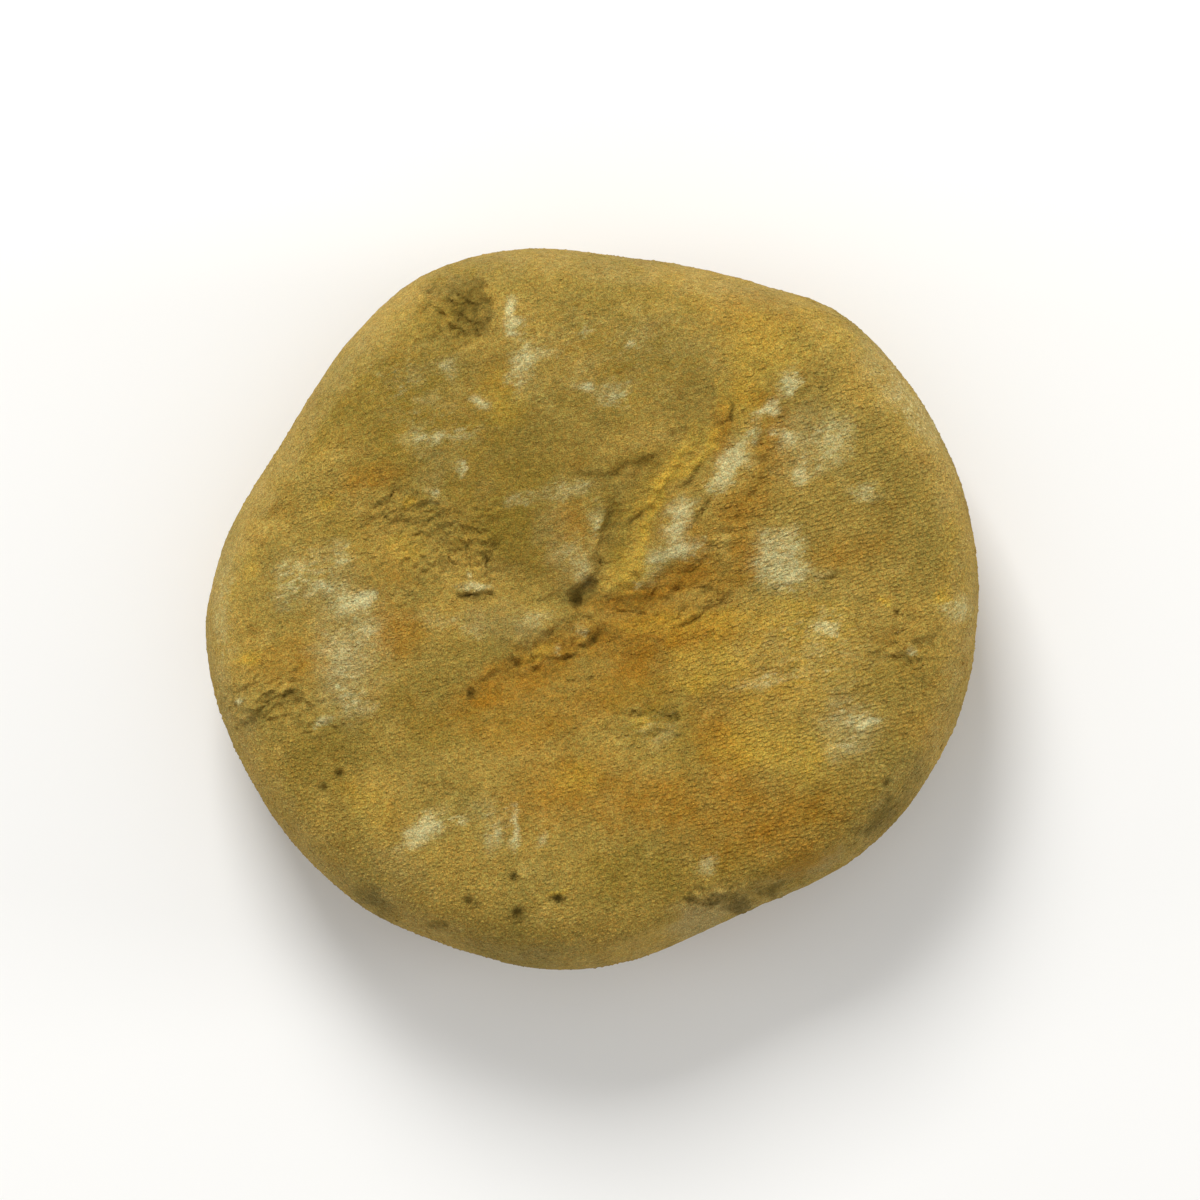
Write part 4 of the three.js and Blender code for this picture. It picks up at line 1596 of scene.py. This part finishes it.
    grey: Marking = Marking(spots(
        (10.8, -31.2, 7, 4.4, 26, 1), (-3, 6.5, 6, 9, 10, 0.35), (-8.5, -1.6, 9, 4.5, -15, 0.35),
        (8, 6.4, 5, 7, -25, 0.25), (-24, -4, 8, 13, 0, 0.6), (25.5, -12, 7, 7, 0, 0.4),
        (-14, 13, 8, 6, -20, 0.2), (36.5, -6, 3, 14, 0, 0.4), (23, -25.6, 6, 2, 38, 0.7),
        (20.5, 16.5, 6, 9, -20, 0.4), (-19, -26, 9, 4, -35, 0.3), (17.6, 5.2, 5, 5.5, 0, 0.5),
        (-21, -29.5, 7, 3, -35, 0.45), (15, -29.6, 6, 2, 15, 0.5),
    ))
    # Darkens the mouth, and paints shadows below ledges, along cracks and in the chip and the pits
    grime: Marking = Marking(
        spots(
            (-1, 1.6, 4.8, 3, 33, 0.6), (-1.5, 0.8, 1.4, 0.9, 33, 0.6), (-13.2, 31, 5, 3.8, 0, 0.4),
            (-11.8, 27.6, 3, 3, 0, 0.3), (-11.6, 30.2, 2.6, 5.4, 0, 0.45), (14.5, -29.6, 3.2, 1.5, 10, 0.8),
            (17.8, -28, 3, 1.2, 10, 0.7), (12.5, -28.8, 3.6, 0.9, 5, 0.7), (9.8, -28.8, 1.2, 1.6, 0, 0.5),
            (29, -20.6, 5.5, 2.4, 50, 0.62), (32.4, -16.4, 6, 2, 62, 0.35), (26.6, -21.8, 3, 1.6, 30, 0.3),
            (-21.5, -29.2, 5, 2.2, -35, 0.6), (-15.7, -31.4, 2.2, 1.3, 0, 0.6),
            (-6.3, -34.6, 2.4, 1, -10, 0.35), (-7.7, -26.8, 1.2, 1.2, 0, 0.7),
            (-3.4, -28.8, 1.5, 1.3, 0, 0.9), (-7.4, -30.4, 1.8, 1.6, 0, 0.7),
            (-12.1, -29.1, 1.8, 1.6, 0, 0.6), (-25.1, -16.5, 1.3, 1, 30, 0.7),
            (-26.5, -17.8, 1, 0.9, 0, 0.5), (29.2, -17.4, 1, 1, 0, 0.7), (30.2, -0.5, 0.9, 0.9, 0, 0.5),
            (24.4, 3.6, 1.8, 1, 25, 0.5), (-14.7, 4.4, 1.5, 0.9, 15, 0.5), (-12.1, -8.5, 1.3, 1.5, 0, 0.7),
            (7.8, -10.9, 2.2, 1.1, 0, 0.5), (28.6, -4.4, 2, 1, 0, 0.35), (32.4, -5.1, 2.4, 0.9, 10, 0.4),
            (-29.6, -8.6, 2, 1, 0, 0.4), (-16.4, 32, 1.6, 1, 0, 0.4), (4.4, 0.6, 6, 1.6, 5, 0.45),
            (10.2, 3.2, 4, 1.6, 10, 0.3),
        ),
        ridges(
            (0.24, 0.70, ((-13.2, 1.25), (-11.6, 1.3), (-9.9, 1.5))),
            (0.28, 0.60, ((-10.5, 2.6), (-10.6, 4.5), (-10.3, 5.6), (-9.6, 6.1))),
            (0.26, 0.95, ((13.8, 20.4), (13.8, 19.6), (13.6, 18.7))),
            (0.30, 0.60, ((11.4, 10.4), (11.0, 9.5), (10.6, 9.0))),
            (0.40, 0.40, ((0.6, -2.5), (-0.2, -3.3), (-1.5, -4.2), (-2.8, -4.9))),
            (0.35, 0.45, ((-3.6, -6.3), (-4.9, -6.5))),
            (0.30, 0.40, ((-2.2, -7.0), (0.4, -6.7))),
            (0.30, 0.30, ((10.9, -0.4), (12.9, 0.8))),
            (0.40, 0.40, ((2.6, 13.6), (3.8, 14.5), (5.2, 15.2))),
            (0.30, 0.40, ((0.6, 3.2), (0.4, 5.0), (0.9, 7.2), (1.5, 9.2))),
            (0.80, 0.30, ((-34.8, -11.6), (-33.6, -10.6), (-32.6, -9.8), (-30.0, -9.2), (-27.4, -10.4))),
            (0.40, 0.45, ((31.9, -3.9), (33.0, -2.8), (34.0, -2.2))),
            (0.35, 0.50, ((30.4, -4.8), (31.2, -4.7))),
            (0.50, 0.50, ((-10.9, 31.8), (-10.4, 30.4), (-10.3, 29.0), (-10.8, 28.0))),
            (0.35, 0.20, ((-15.0, 31.4), (-13.8, 30.0), (-12.6, 28.8))),
            (0.35, 0.20, ((-13.8, 31.8), (-12.6, 30.6), (-11.6, 29.4))),
            (0.35, 0.40, ((-21.5, 10.2), (-20.3, 10.9), (-19.9, 11.6))),
            (0.30, 0.35, ((10.5, 13.9), (9.4, 12.6))),
        ),
    )
    crust: Marking = Marking(spots(
        (-15, 6, 15, 9, 20, 1), (-13.2, 29.4, 7.4, 8.4, 0, 0.6), (-32, -9, 11, 7, 0, 1),
        (3.2, 7.6, 7, 10, -20, 0.35), (8, 14, 12, 6, 35, 0.2), (-4, -3.8, 11, 5.5, 38, 0.6),
        (5.5, 0.8, 12, 4, 8, 0.6), (31.5, -4, 8, 6, 20, 0.75), (13.5, -28.8, 14, 4, 14, 0.8),
        (6.5, -11, 8, 5.5, 0, 0.9), (-19.5, 10.2, 7, 4, 25, 0.7), (-25.5, -11.5, 6, 4, 0, 0.7),
        (24.5, 3.8, 3, 2.4, 0, 0.6), (-12, -9, 5, 4, 0, 0.5), (2.5, -6, 9, 4, 5, 0.4),
    ))
    bare: Marking = Marking(spots(
        (-8, 20, 44, 26, -20, 0.7), (11, 24, 26, 16, 0, 0.6), (-2, 2, 26, 18, 40, 0.8),
        (11.1, -30.9, 10, 5.5, 26, 1), (-33, 0, 12, 16, 0, 0.6), (23, -25.6, 6, 2.4, 38, 0.8),
    ))


@dataclass(frozen=True)
class Weathering:
    """How markings, wear and tubercles are laid over the skin.

    Attributes:
        drawn_from: Height where markings begin to be as drawn, as a share of the margin's height.
        drawn_to: Height from which they are fully as drawn.
        wander: How far markings stray from their ovals and routes, in millimetres.
        wander_length: Length of that straying in millimetres.
        wander_seeds: Seeds of the straying across and up the plan.
        cloud_length: Size of the loose clouds of stain below, in millimetres.
        cloud_seed: Seed of the first kind's clouds.
        cloud_top: Noise at which a cloud is fullest.
        clouds: How strong the clouds are.
        chalk_clouds: How strong chalk's clouds are.
        rim: Where the worn rim begins and where it is fullest, as shares of the way out.
        rim_wear: How worn the rim is.
        rim_grey: How grey the rim is.
        chalk_wear: How worn the skin is below chalk.
        crust_wear: How far crust hides tubercles.
        bite: How strongly wear thins tubercles out.
        free: Where the underside's roughness begins and is fullest, as shares of the crown's turn.
        crown: Where the underside's tubercles begin and are fullest.
        hollow_passes: How often heights are averaged to find hollows.
        hollow_depth: Depth in millimetres that counts as fully hollow.
    """

    drawn_from: float = 0.6
    drawn_to: float = 0.95
    wander: float = 0.18
    wander_length: float = 2.5
    wander_seeds: tuple[int, int] = (41, 42)
    cloud_length: float = 24.0
    cloud_seed: int = 51
    cloud_top: float = 1.4
    clouds: float = 0.45
    chalk_clouds: float = 0.15
    rim: tuple[float, float] = (0.86, 0.99)
    rim_wear: float = 0.4
    rim_grey: float = 0.4
    chalk_wear: float = 0.8
    crust_wear: float = 0.9
    bite: float = 1.3
    free: tuple[float, float] = (0.12, 0.45)
    crown: tuple[float, float] = (0.2, 0.5)
    hollow_passes: int = 14
    hollow_depth: float = 0.35


@dataclass(frozen=True)
class SandDollar:
    """The fossil itself: a dense skin that stands for the solid, with its relief, masks and stone finish.

    Attributes:
        finish: The stone's finish.
        face: Lattice of the mouth side.
        crown: Lattice of the underside, with half as many rings.
        margin_rings: Rings between the face and the widest line.
        under_rings: Rings between the widest line and the crown.
        face_edge: Where the face's last ring lies, as a share of the way out.
        crown_edge: Where the crown's last ring lies.
        lattice_turn: Turn of the lattices in radians.
        even_power: How late the lattices bend to the outline.
        stray: How far the face's corners stray from the lattice, in millimetres.
        stray_length: Length of that straying in millimetres.
        stray_seeds: Seeds of the straying across and up the plan.
        sharp_angle: Angle in radians from which edges are sharp.
    """

    finish: StoneFinish
    profile: Profile = Profile()
    relief: FaceRelief = FaceRelief()
    petals: Petals = Petals()
    broken: Break = Break()
    markings: Markings = Markings()
    weather: Weathering = Weathering()
    sizes: ReliefSizes = ReliefSizes()
    face: Lattice = Lattice(140)
    crown: Lattice = Lattice(70)
    margin_rings: int = 22
    under_rings: int = 9
    face_edge: float = 0.945
    crown_edge: float = 0.955
    lattice_turn: float = math.radians(-5.0)
    even_power: float = 3.0
    stray: float = 0.3
    stray_length: float = 8.0
    stray_seeds: tuple[int, int] = (31, 32)
    sharp_angle: float = math.radians(32.0)
    coats: tuple[TubercleCoat, ...] = (
        TubercleCoat("mouth_tubercles", Mask.TUBERCLE),
        TubercleCoat("crown_tubercles", Mask.CROWN_TUBERCLE, spacing=0.7),
    )

    def spread(self, lattice: Lattice, edge: float) -> tuple[Array, Array, Array]:
        """Spreads a lattice over the plan, even in the middle and fitted to the outline at its edge.

        Args:
            lattice: The lattice.
            edge: How far out its last ring lies, as a share of the way to the margin.

        Returns:
            Places across and up the plan in millimetres, and each corner's share of the way out.
        """
        first, second, ring = lattice.corners()
        flat_x = (first + 0.5 * second) / lattice.rings
        flat_y = second * math.sqrt(0.75) / lattice.rings
        share = ring / lattice.rings
        out = np.hypot(flat_x, flat_y)
        bearing = np.arctan2(flat_y, flat_x) + self.lattice_turn
        margin = edge * self.profile.outline.radius(bearing)
        even = out * margin.mean() / out[-6 * lattice.rings:].mean()
        pull = share**self.even_power
        radius = even * (1.0 - pull) + share * margin * pull
        return radius * np.cos(bearing), radius * np.sin(bearing), share

    def face_places(self) -> Array:
        """Finds the corners of the mouth side.

        Returns:
            Rows of x, y and z in millimetres.
        """
        x, y, share = self.spread(self.face, self.face_edge)
        stray = self.stray * (1.0 - share**self.even_power)
        across, up = self.stray_seeds
        x = x + stray * Ripple(self.stray_length, across).at(x, y)
        y = y + stray * Ripple(self.stray_length, up).at(x, y)
        shoulder = self.profile.shoulder(self.profile.reach(x, y))
        return np.stack([x, y, self.profile.face(x, y, shoulder, self.relief.lift(x, y))], axis=1)

    def margin_places(self) -> Array:
        """Finds the corners round the upper margin, ring by ring down to the widest line.

        Returns:
            Rows of x, y and z in millimetres.
        """
        profile = self.profile
        bearing = self.rim_bearing(self.face)
        start = (self.face_edge - profile.crest_reach) / (1.0 - profile.crest_reach)
        first = math.asin(start ** (0.5 * profile.crest_rounding))
        rings = []
        for turn in np.linspace(first, 0.5 * math.pi, self.margin_rings + 1)[1:]:
            rise = math.sin(turn) ** (2.0 / profile.crest_rounding)
            reach = profile.crest_reach + (1.0 - profile.crest_reach) * rise
            out = reach * profile.outline.radius(bearing)
            x = out * np.cos(bearing)
            y = out * np.sin(bearing)
            shoulder = max(math.cos(turn), 0.0) ** (2.0 / profile.crest_rounding)
            z = profile.face(x, y, np.full_like(x, shoulder), self.relief.lift(x, y))
            rings.append(np.stack([x, y, z], axis=1))
        return np.concatenate(rings)

    def under_places(self) -> Array:
        """Finds the corners round the lower margin, ring by ring down to the crown's edge.

        Returns:
            Rows of x, y and z in millimetres.
        """
        profile = self.profile
        bearing = self.rim_bearing(self.crown)
        end = (self.crown_edge - profile.rest_reach) / (1.0 - profile.rest_reach)
        last = math.acos(end ** (0.5 * profile.crown_rounding))
        rings = []
        for turn in np.linspace(0.0, last, self.under_rings + 1)[1:-1]:
            share = math.cos(turn) ** (2.0 / profile.crown_rounding)
            reach = profile.rest_reach + (1.0 - profile.rest_reach) * share
            out = reach * profile.outline.radius(bearing)
            x = out * np.cos(bearing)
            y = out * np.sin(bearing)
            bulge = np.full_like(x, math.sin(turn) ** (2.0 / profile.crown_rounding))
            z = profile.crown(x, y, bulge, self.petals.sunk(x, y, np.full_like(x, share)))
            rings.append(np.stack([x, y, z], axis=1))
        return np.concatenate(rings)

    def crown_places(self) -> Array:
        """Finds the corners of the crown below.

        Returns:
            Rows of x, y and z in millimetres.
        """
        x, y, _ = self.spread(self.crown, self.crown_edge)
        turn = self.profile.crown_turn(self.profile.reach(x, y))
        bulge = (1.0 - turn**self.profile.crown_rounding) ** (1.0 / self.profile.crown_rounding)
        return np.stack([x, y, self.profile.crown(x, y, bulge, self.petals.sunk(x, y, turn))], axis=1)

    def rim_bearing(self, lattice: Lattice) -> Array:
        """Finds the bearings of a lattice's last ring.

        Args:
            lattice: The lattice.

        Returns:
            Bearings in radians.
        """
        x, y, _ = self.spread(lattice, 1.0)
        rim = slice(lattice.start(lattice.rings), None)
        return np.arctan2(y[rim], x[rim])

    def triangles(self) -> Array:
        """Joins the face, the margin's rings and the crown into one closed skin.

        Returns:
            Rows of three corner numbers, facing outwards.
        """
        wide = 6 * self.face.rings
        narrow = 6 * self.crown.rings
        face_rim = self.face.start(self.face.rings)
        margin_start = face_rim + wide
        under_start = margin_start + wide * self.margin_rings
        crown_start = under_start + narrow * (self.under_rings - 1)
        upper = [face_rim + wide * ring for ring in range(self.margin_rings + 1)]
        lower = [under_start + narrow * ring for ring in range(self.under_rings - 1)]
        lower.append(crown_start + self.crown.start(self.crown.rings))
        rows = [self.face.triangles(), crown_start + self.crown.triangles()[:, ::-1]]
        for count, rings in ((wide, upper), (narrow, lower)):
            here = np.arange(count)
            after = (here + 1) % count
            for above, below in zip(rings, rings[1:]):
                rows.append(np.stack([above + here, below + here, below + after], axis=1))
                rows.append(np.stack([above + here, below + after, above + after], axis=1))
        here = np.arange(narrow)
        after = (here + 1) % narrow
        above = upper[-1]
        middle = above + 2 * here + 1
        rows.append(np.stack([above + 2 * here, lower[0] + here, middle], axis=1))
        rows.append(np.stack([middle, lower[0] + here, lower[0] + after], axis=1))
        rows.append(np.stack([middle, lower[0] + after, above + 2 * after], axis=1))
        return np.concatenate(rows)

    def hollows(self, places: Array, triangles: Array) -> Array:
        """Finds how deep each corner lies below its surroundings.

        Args:
            places: Rows of x, y and z in millimetres.
            triangles: The skin's triangles.

        Returns:
            0.5 on a level stretch, 1 in a hollow and 0 on an edge.
        """
        start = triangles.ravel()
        end = triangles[:, (1, 2, 0)].ravel()
        count = np.bincount(start, minlength=len(places))
        level = places[:, 2].copy()
        for _ in range(self.weather.hollow_passes):
            around = np.bincount(start, weights=level[end], minlength=len(places)) / count
            level = 0.5 * (level + around)
        return np.clip(0.5 + 0.5 * (level - places[:, 2]) / self.weather.hollow_depth, 0.0, 1.0)

    def masks(self, places: Array, triangles: Array, pressed: Array) -> dict[Mask, Array]:
        """Works out the fields that the relief tree and the finish read.

        Args:
            places: Rows of x, y and z in millimetres.
            triangles: The skin's triangles.
            pressed: How far each corner was pressed onto the break.

        Returns:
            Each mask's value at every corner.
        """
        x, y, z = places.T
        marks = self.markings
        weather = self.weather
        upper_count = self.face.start(self.face.rings + 1) + 6 * self.face.rings * self.margin_rings
        upper = np.arange(len(places)) < upper_count
        across, up = weather.wander_seeds
        warped_x = x + weather.wander * Ripple(weather.wander_length, across).at(x, y)
        warped_y = y + weather.wander * Ripple(weather.wander_length, up).at(x, y)
        margin = self.profile.margin_height
        above = smooth_step(z, weather.drawn_from * margin, weather.drawn_to * margin)

        def marked(kind: Marking, shift: int, most: float = weather.clouds) -> Array:
            """Lays a kind of marking over the skin, as drawn above and in loose clouds below.

            Args:
                kind: The marking.
                shift: How far its clouds' seed lies from the first kind's.
                most: How strong its clouds are.

            Returns:
                How much it covers each corner, from 0 to 1.
            """
            noise = Ripple(weather.cloud_length, weather.cloud_seed + shift).at(x, y)
            clouds = most * smooth_step(noise, 0.0, weather.cloud_top)
            return above * kind.cover(warped_x, warped_y) + (1.0 - above) * clouds

        chalk = marked(marks.chalk, 0, weather.chalk_clouds)
        crust = above * marks.crust.cover(warped_x, warped_y)
        reach = self.profile.reach(x, y)
        turn = self.profile.crown_turn(reach)
        whole = (1.0 - weather.chalk_wear * chalk) * (1.0 - weather.crust_wear * crust)
        whole *= 1.0 - above * marks.bare.cover(x, y)
        rim = smooth_step(reach, *weather.rim)
        wear = np.clip(1.0 - whole + (pressed > 0.0) + weather.rim_wear * rim * upper, 0.0, 1.0)
        free = np.where(upper, 1.0, smooth_step(turn, *weather.free))
        tubercle = np.clip(1.0 - weather.bite * wear, 0.0, 1.0)
        tubercle *= np.where(upper, 1.0, smooth_step(turn, *weather.crown))
        hollow = self.hollows(places, triangles)
        return {
            Mask.TUBERCLE: tubercle * upper,
            Mask.CROWN_TUBERCLE: tubercle * ~upper,
            Mask.TIP: np.zeros_like(x),
            Mask.CRUST: crust,
            Mask.FREE: free,
            # How hollow each corner is; the finish paints shade into the hollows
            Mask.HOLLOW: np.where(upper, hollow, 1.0 - hollow),
            Mask.CHALK: chalk,
            Mask.OCHRE: marked(marks.ochre, 1),
            Mask.YELLOW: marked(marks.yellow, 2),
            # Olive stains and painted shade
            Mask.OLIVE_AND_SHADE: marked(marks.olive, 3),
            Mask.GREY: np.maximum(marked(marks.grey, 4), weather.rim_grey * rim * above),
            # Grime and painted shadows, drawn on the upper side only
            Mask.SHADE_AND_GRIME: above * marks.grime.cover(warped_x, warped_y),
        }

    def build(self) -> bpy.types.Object:
        """Builds the skin as a mesh with its masks.

        Returns:
            The skin's object, before its small relief.
        """
        parts = self.face_places(), self.margin_places(), self.under_places(), self.crown_places()
        places, pressed = self.broken.press(np.concatenate(parts), self.profile.margin_height)
        triangles = self.triangles()
        low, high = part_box(NODE)
        middle = 0.5 * (places.min(0) + places.max(0))
        aim = np.array([0.5 * (low.x + high.x) / MM, 0.5 * (low.y + high.y) / MM, middle[2]])
        shift = aim - middle
        mesh = bpy.data.meshes.new(NODE + "_skin")
        mesh.from_pydata(((places + shift) * MM).tolist(), [], triangles.tolist())
        mesh.polygons.foreach_set("use_smooth", np.ones(len(triangles), bool))
        for mask, values in self.masks(places, triangles, pressed).items():
            field = mesh.attributes.new(mask.value, "FLOAT", "POINT")
            field.data.foreach_set("value", values.astype(np.float32))
        mesh.update()
        piece = bpy.data.objects.new("fossil_skin", mesh)
        bpy.context.scene.collection.objects.link(piece)
        return piece

    def raise_relief(self, piece: bpy.types.Object, material: bpy.types.Material) -> None:
        """Raises grain, crust and swells, and leaves a plain mesh in the stone's material.

        Args:
            piece: The skin's object.
            material: The stone's material.
        """
        sizes = self.sizes
        values = {
            "Seed": sizes.seed, "Material": material,
            "Crust height": sizes.crust_height * MM, "Crust size": sizes.crust_size * MM,
            "Swell height": sizes.swell_height * MM, "Swell size": sizes.swell_size * MM,
            "Grain height": sizes.grain_height * MM, "Grain size": sizes.grain_size * MM,
        }
        plain = piece.data
        piece.data = made_by(piece, relief_tree(), values)
        piece.data.name = piece.name
        piece.data.set_sharp_from_angle(angle=self.sharp_angle)
        bpy.data.meshes.remove(plain)

    def dress(self) -> bpy.types.Object:
        """Builds and dresses the fossil, hangs it under the body and hides the solid that it stands in for.

        Returns:
            The finished skin.
        """
        piece = self.build()
        material = self.finish.material()
        self.raise_relief(piece, material)
        for coat in self.coats:
            coat.dress(piece, material)
        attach(piece, BODY)
        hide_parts(NODE)
        mesh = piece.data
        log.info("%s: %d corners, %d triangles", piece.name, len(mesh.vertices), len(mesh.polygons))
        return piece


@dataclass(frozen=True)
class Softbox:
    """Square light that faces the fossil: degrees round and up, metres away, metres wide and watts."""

    name: str
    bearing: float
    elevation: float
    distance: float
    side: float
    power: float

    def place(self) -> bpy.types.Object:
        """Places the light, turned to the fossil.

        Returns:
            The light.
        """
        turn = math.radians(self.bearing)
        lift = math.radians(self.elevation)
        data = bpy.data.lights.new(self.name, "AREA")
        data.size = self.side
        data.energy = self.power
        light = bpy.data.objects.new(self.name, data)
        away = (math.cos(turn) * math.cos(lift), math.sin(turn) * math.cos(lift), math.sin(lift))
        light.location = [self.distance * share for share in away]
        light.rotation_euler = light.location.to_track_quat("Z", "Y").to_euler()
        bpy.context.scene.collection.objects.link(light)
        return light


@dataclass(frozen=True)
class Studio:
    """Pale floor, soft lights and the camera above.

    Attributes:
        view_width: Width of the picture at the margin's height, in metres.
        view_middle: Where the middle of the picture lies on the plan, in metres.
        camera_height: Camera height above the margin, in metres.
        margin_height: Height of the fossil's widest line, in metres.
        sensor_width: Width of the camera's sensor in millimetres.
        clip_end: How far the camera sees, in metres.
        floor_grains: Grains of the floor in a metre.
        floor_roughness: Least and most roughness of the floor.
        floor_specular: How strongly the floor shines.
    """

    grain: bpy.types.NodeTree
    floor_side: float = 4.0
    floor_colour: str = "F4F3F0"
    sky_colour: str = "FFFFFF"
    sky_strength: float = 0.52
    view_width: float = 0.12
    view_middle: tuple[float, float] = (0.0008, 0.00085)
    camera_height: float = 1.2
    margin_height: float = 0.0094
    sensor_width: float = 36.0
    clip_end: float = 10.0
    floor_grains: float = 300.0
    floor_roughness: Shades = (0.82, 0.9)
    floor_specular: float = 0.2
    lights: tuple[Softbox, ...] = (
        Softbox("key", 106.0, 40.0, 1.0, 0.4, 8.0),
        Softbox("left side", 180.0, 14.0, 0.9, 0.3, 1.6),
        Softbox("right side", 0.0, 14.0, 0.9, 0.3, 2.9),
    )

    def floor(self) -> bpy.types.Object:
        """Lays the floor, which hangs under none of the fossil's bodies.

        Returns:
            The floor.
        """
        half = 0.5 * self.floor_side
        mesh = bpy.data.meshes.new("floor")
        corners = [(-half, -half, 0.0), (half, -half, 0.0), (half, half, 0.0), (-half, half, 0.0)]
        mesh.from_pydata(corners, [], [(0, 1, 2, 3)])
        mesh.materials.append(self.floor_material())
        floor = bpy.data.objects.new("floor", mesh)
        bpy.context.scene.collection.objects.link(floor)
        return floor

    def floor_material(self) -> bpy.types.Material:
        """Builds the floor's pale material, with faint grain in its sheen.

        Returns:
            The material.
        """
        material = bpy.data.materials.new("pale_floor")
        material.use_nodes = True
        wiring = Wiring(material.node_tree)
        shader = material.node_tree.nodes["Principled BSDF"]
        place = wiring.add("ShaderNodeTexCoord").outputs["Object"]
        grain = wiring.group(self.grain, Vector=place, Scale=self.floor_grains, Seed=8.0)
        rough = wiring.ease(grain.outputs["Coarse"], *StoneFinish.GRAIN_SPAN, *self.floor_roughness)
        shader.inputs["Base Color"].default_value = tone(self.floor_colour)
        wiring.feed(shader.inputs["Roughness"], rough)
        shader.inputs["Specular IOR Level"].default_value = self.floor_specular
        return material

    def light(self) -> None:
        """Places the lights and the even light all round."""
        for softbox in self.lights:
            softbox.place()
        world = bpy.data.worlds.new("even light")
        world.use_nodes = True
        sky = world.node_tree.nodes["Background"]
        sky.inputs["Color"].default_value = tone(self.sky_colour)
        sky.inputs["Strength"].default_value = self.sky_strength
        bpy.context.scene.world = world

    def camera(self) -> bpy.types.Object:
        """Places the camera, looking straight down with +Y up in the picture.

        Returns:
            The camera.
        """
        data = bpy.data.cameras.new("camera")
        data.sensor_width = self.sensor_width
        data.lens = self.sensor_width * self.camera_height / self.view_width
        data.clip_end = self.clip_end
        camera = bpy.data.objects.new("camera", data)
        camera.location = (*self.view_middle, self.margin_height + self.camera_height)
        bpy.context.scene.collection.objects.link(camera)
        bpy.context.scene.camera = camera
        return camera


def main() -> None:
    """Builds the studio and the fossil, in order."""
    logging.basicConfig(level=logging.INFO, format="%(name)s: %(message)s")
    bpy.context.scene.view_settings.view_transform = "Standard"
    grain = grain_group()
    studio = Studio(grain)
    studio.camera()
    studio.light()
    studio.floor()
    SandDollar(StoneFinish(patchy_group(), grain)).dress()


if __name__ == "__main__":
    main()
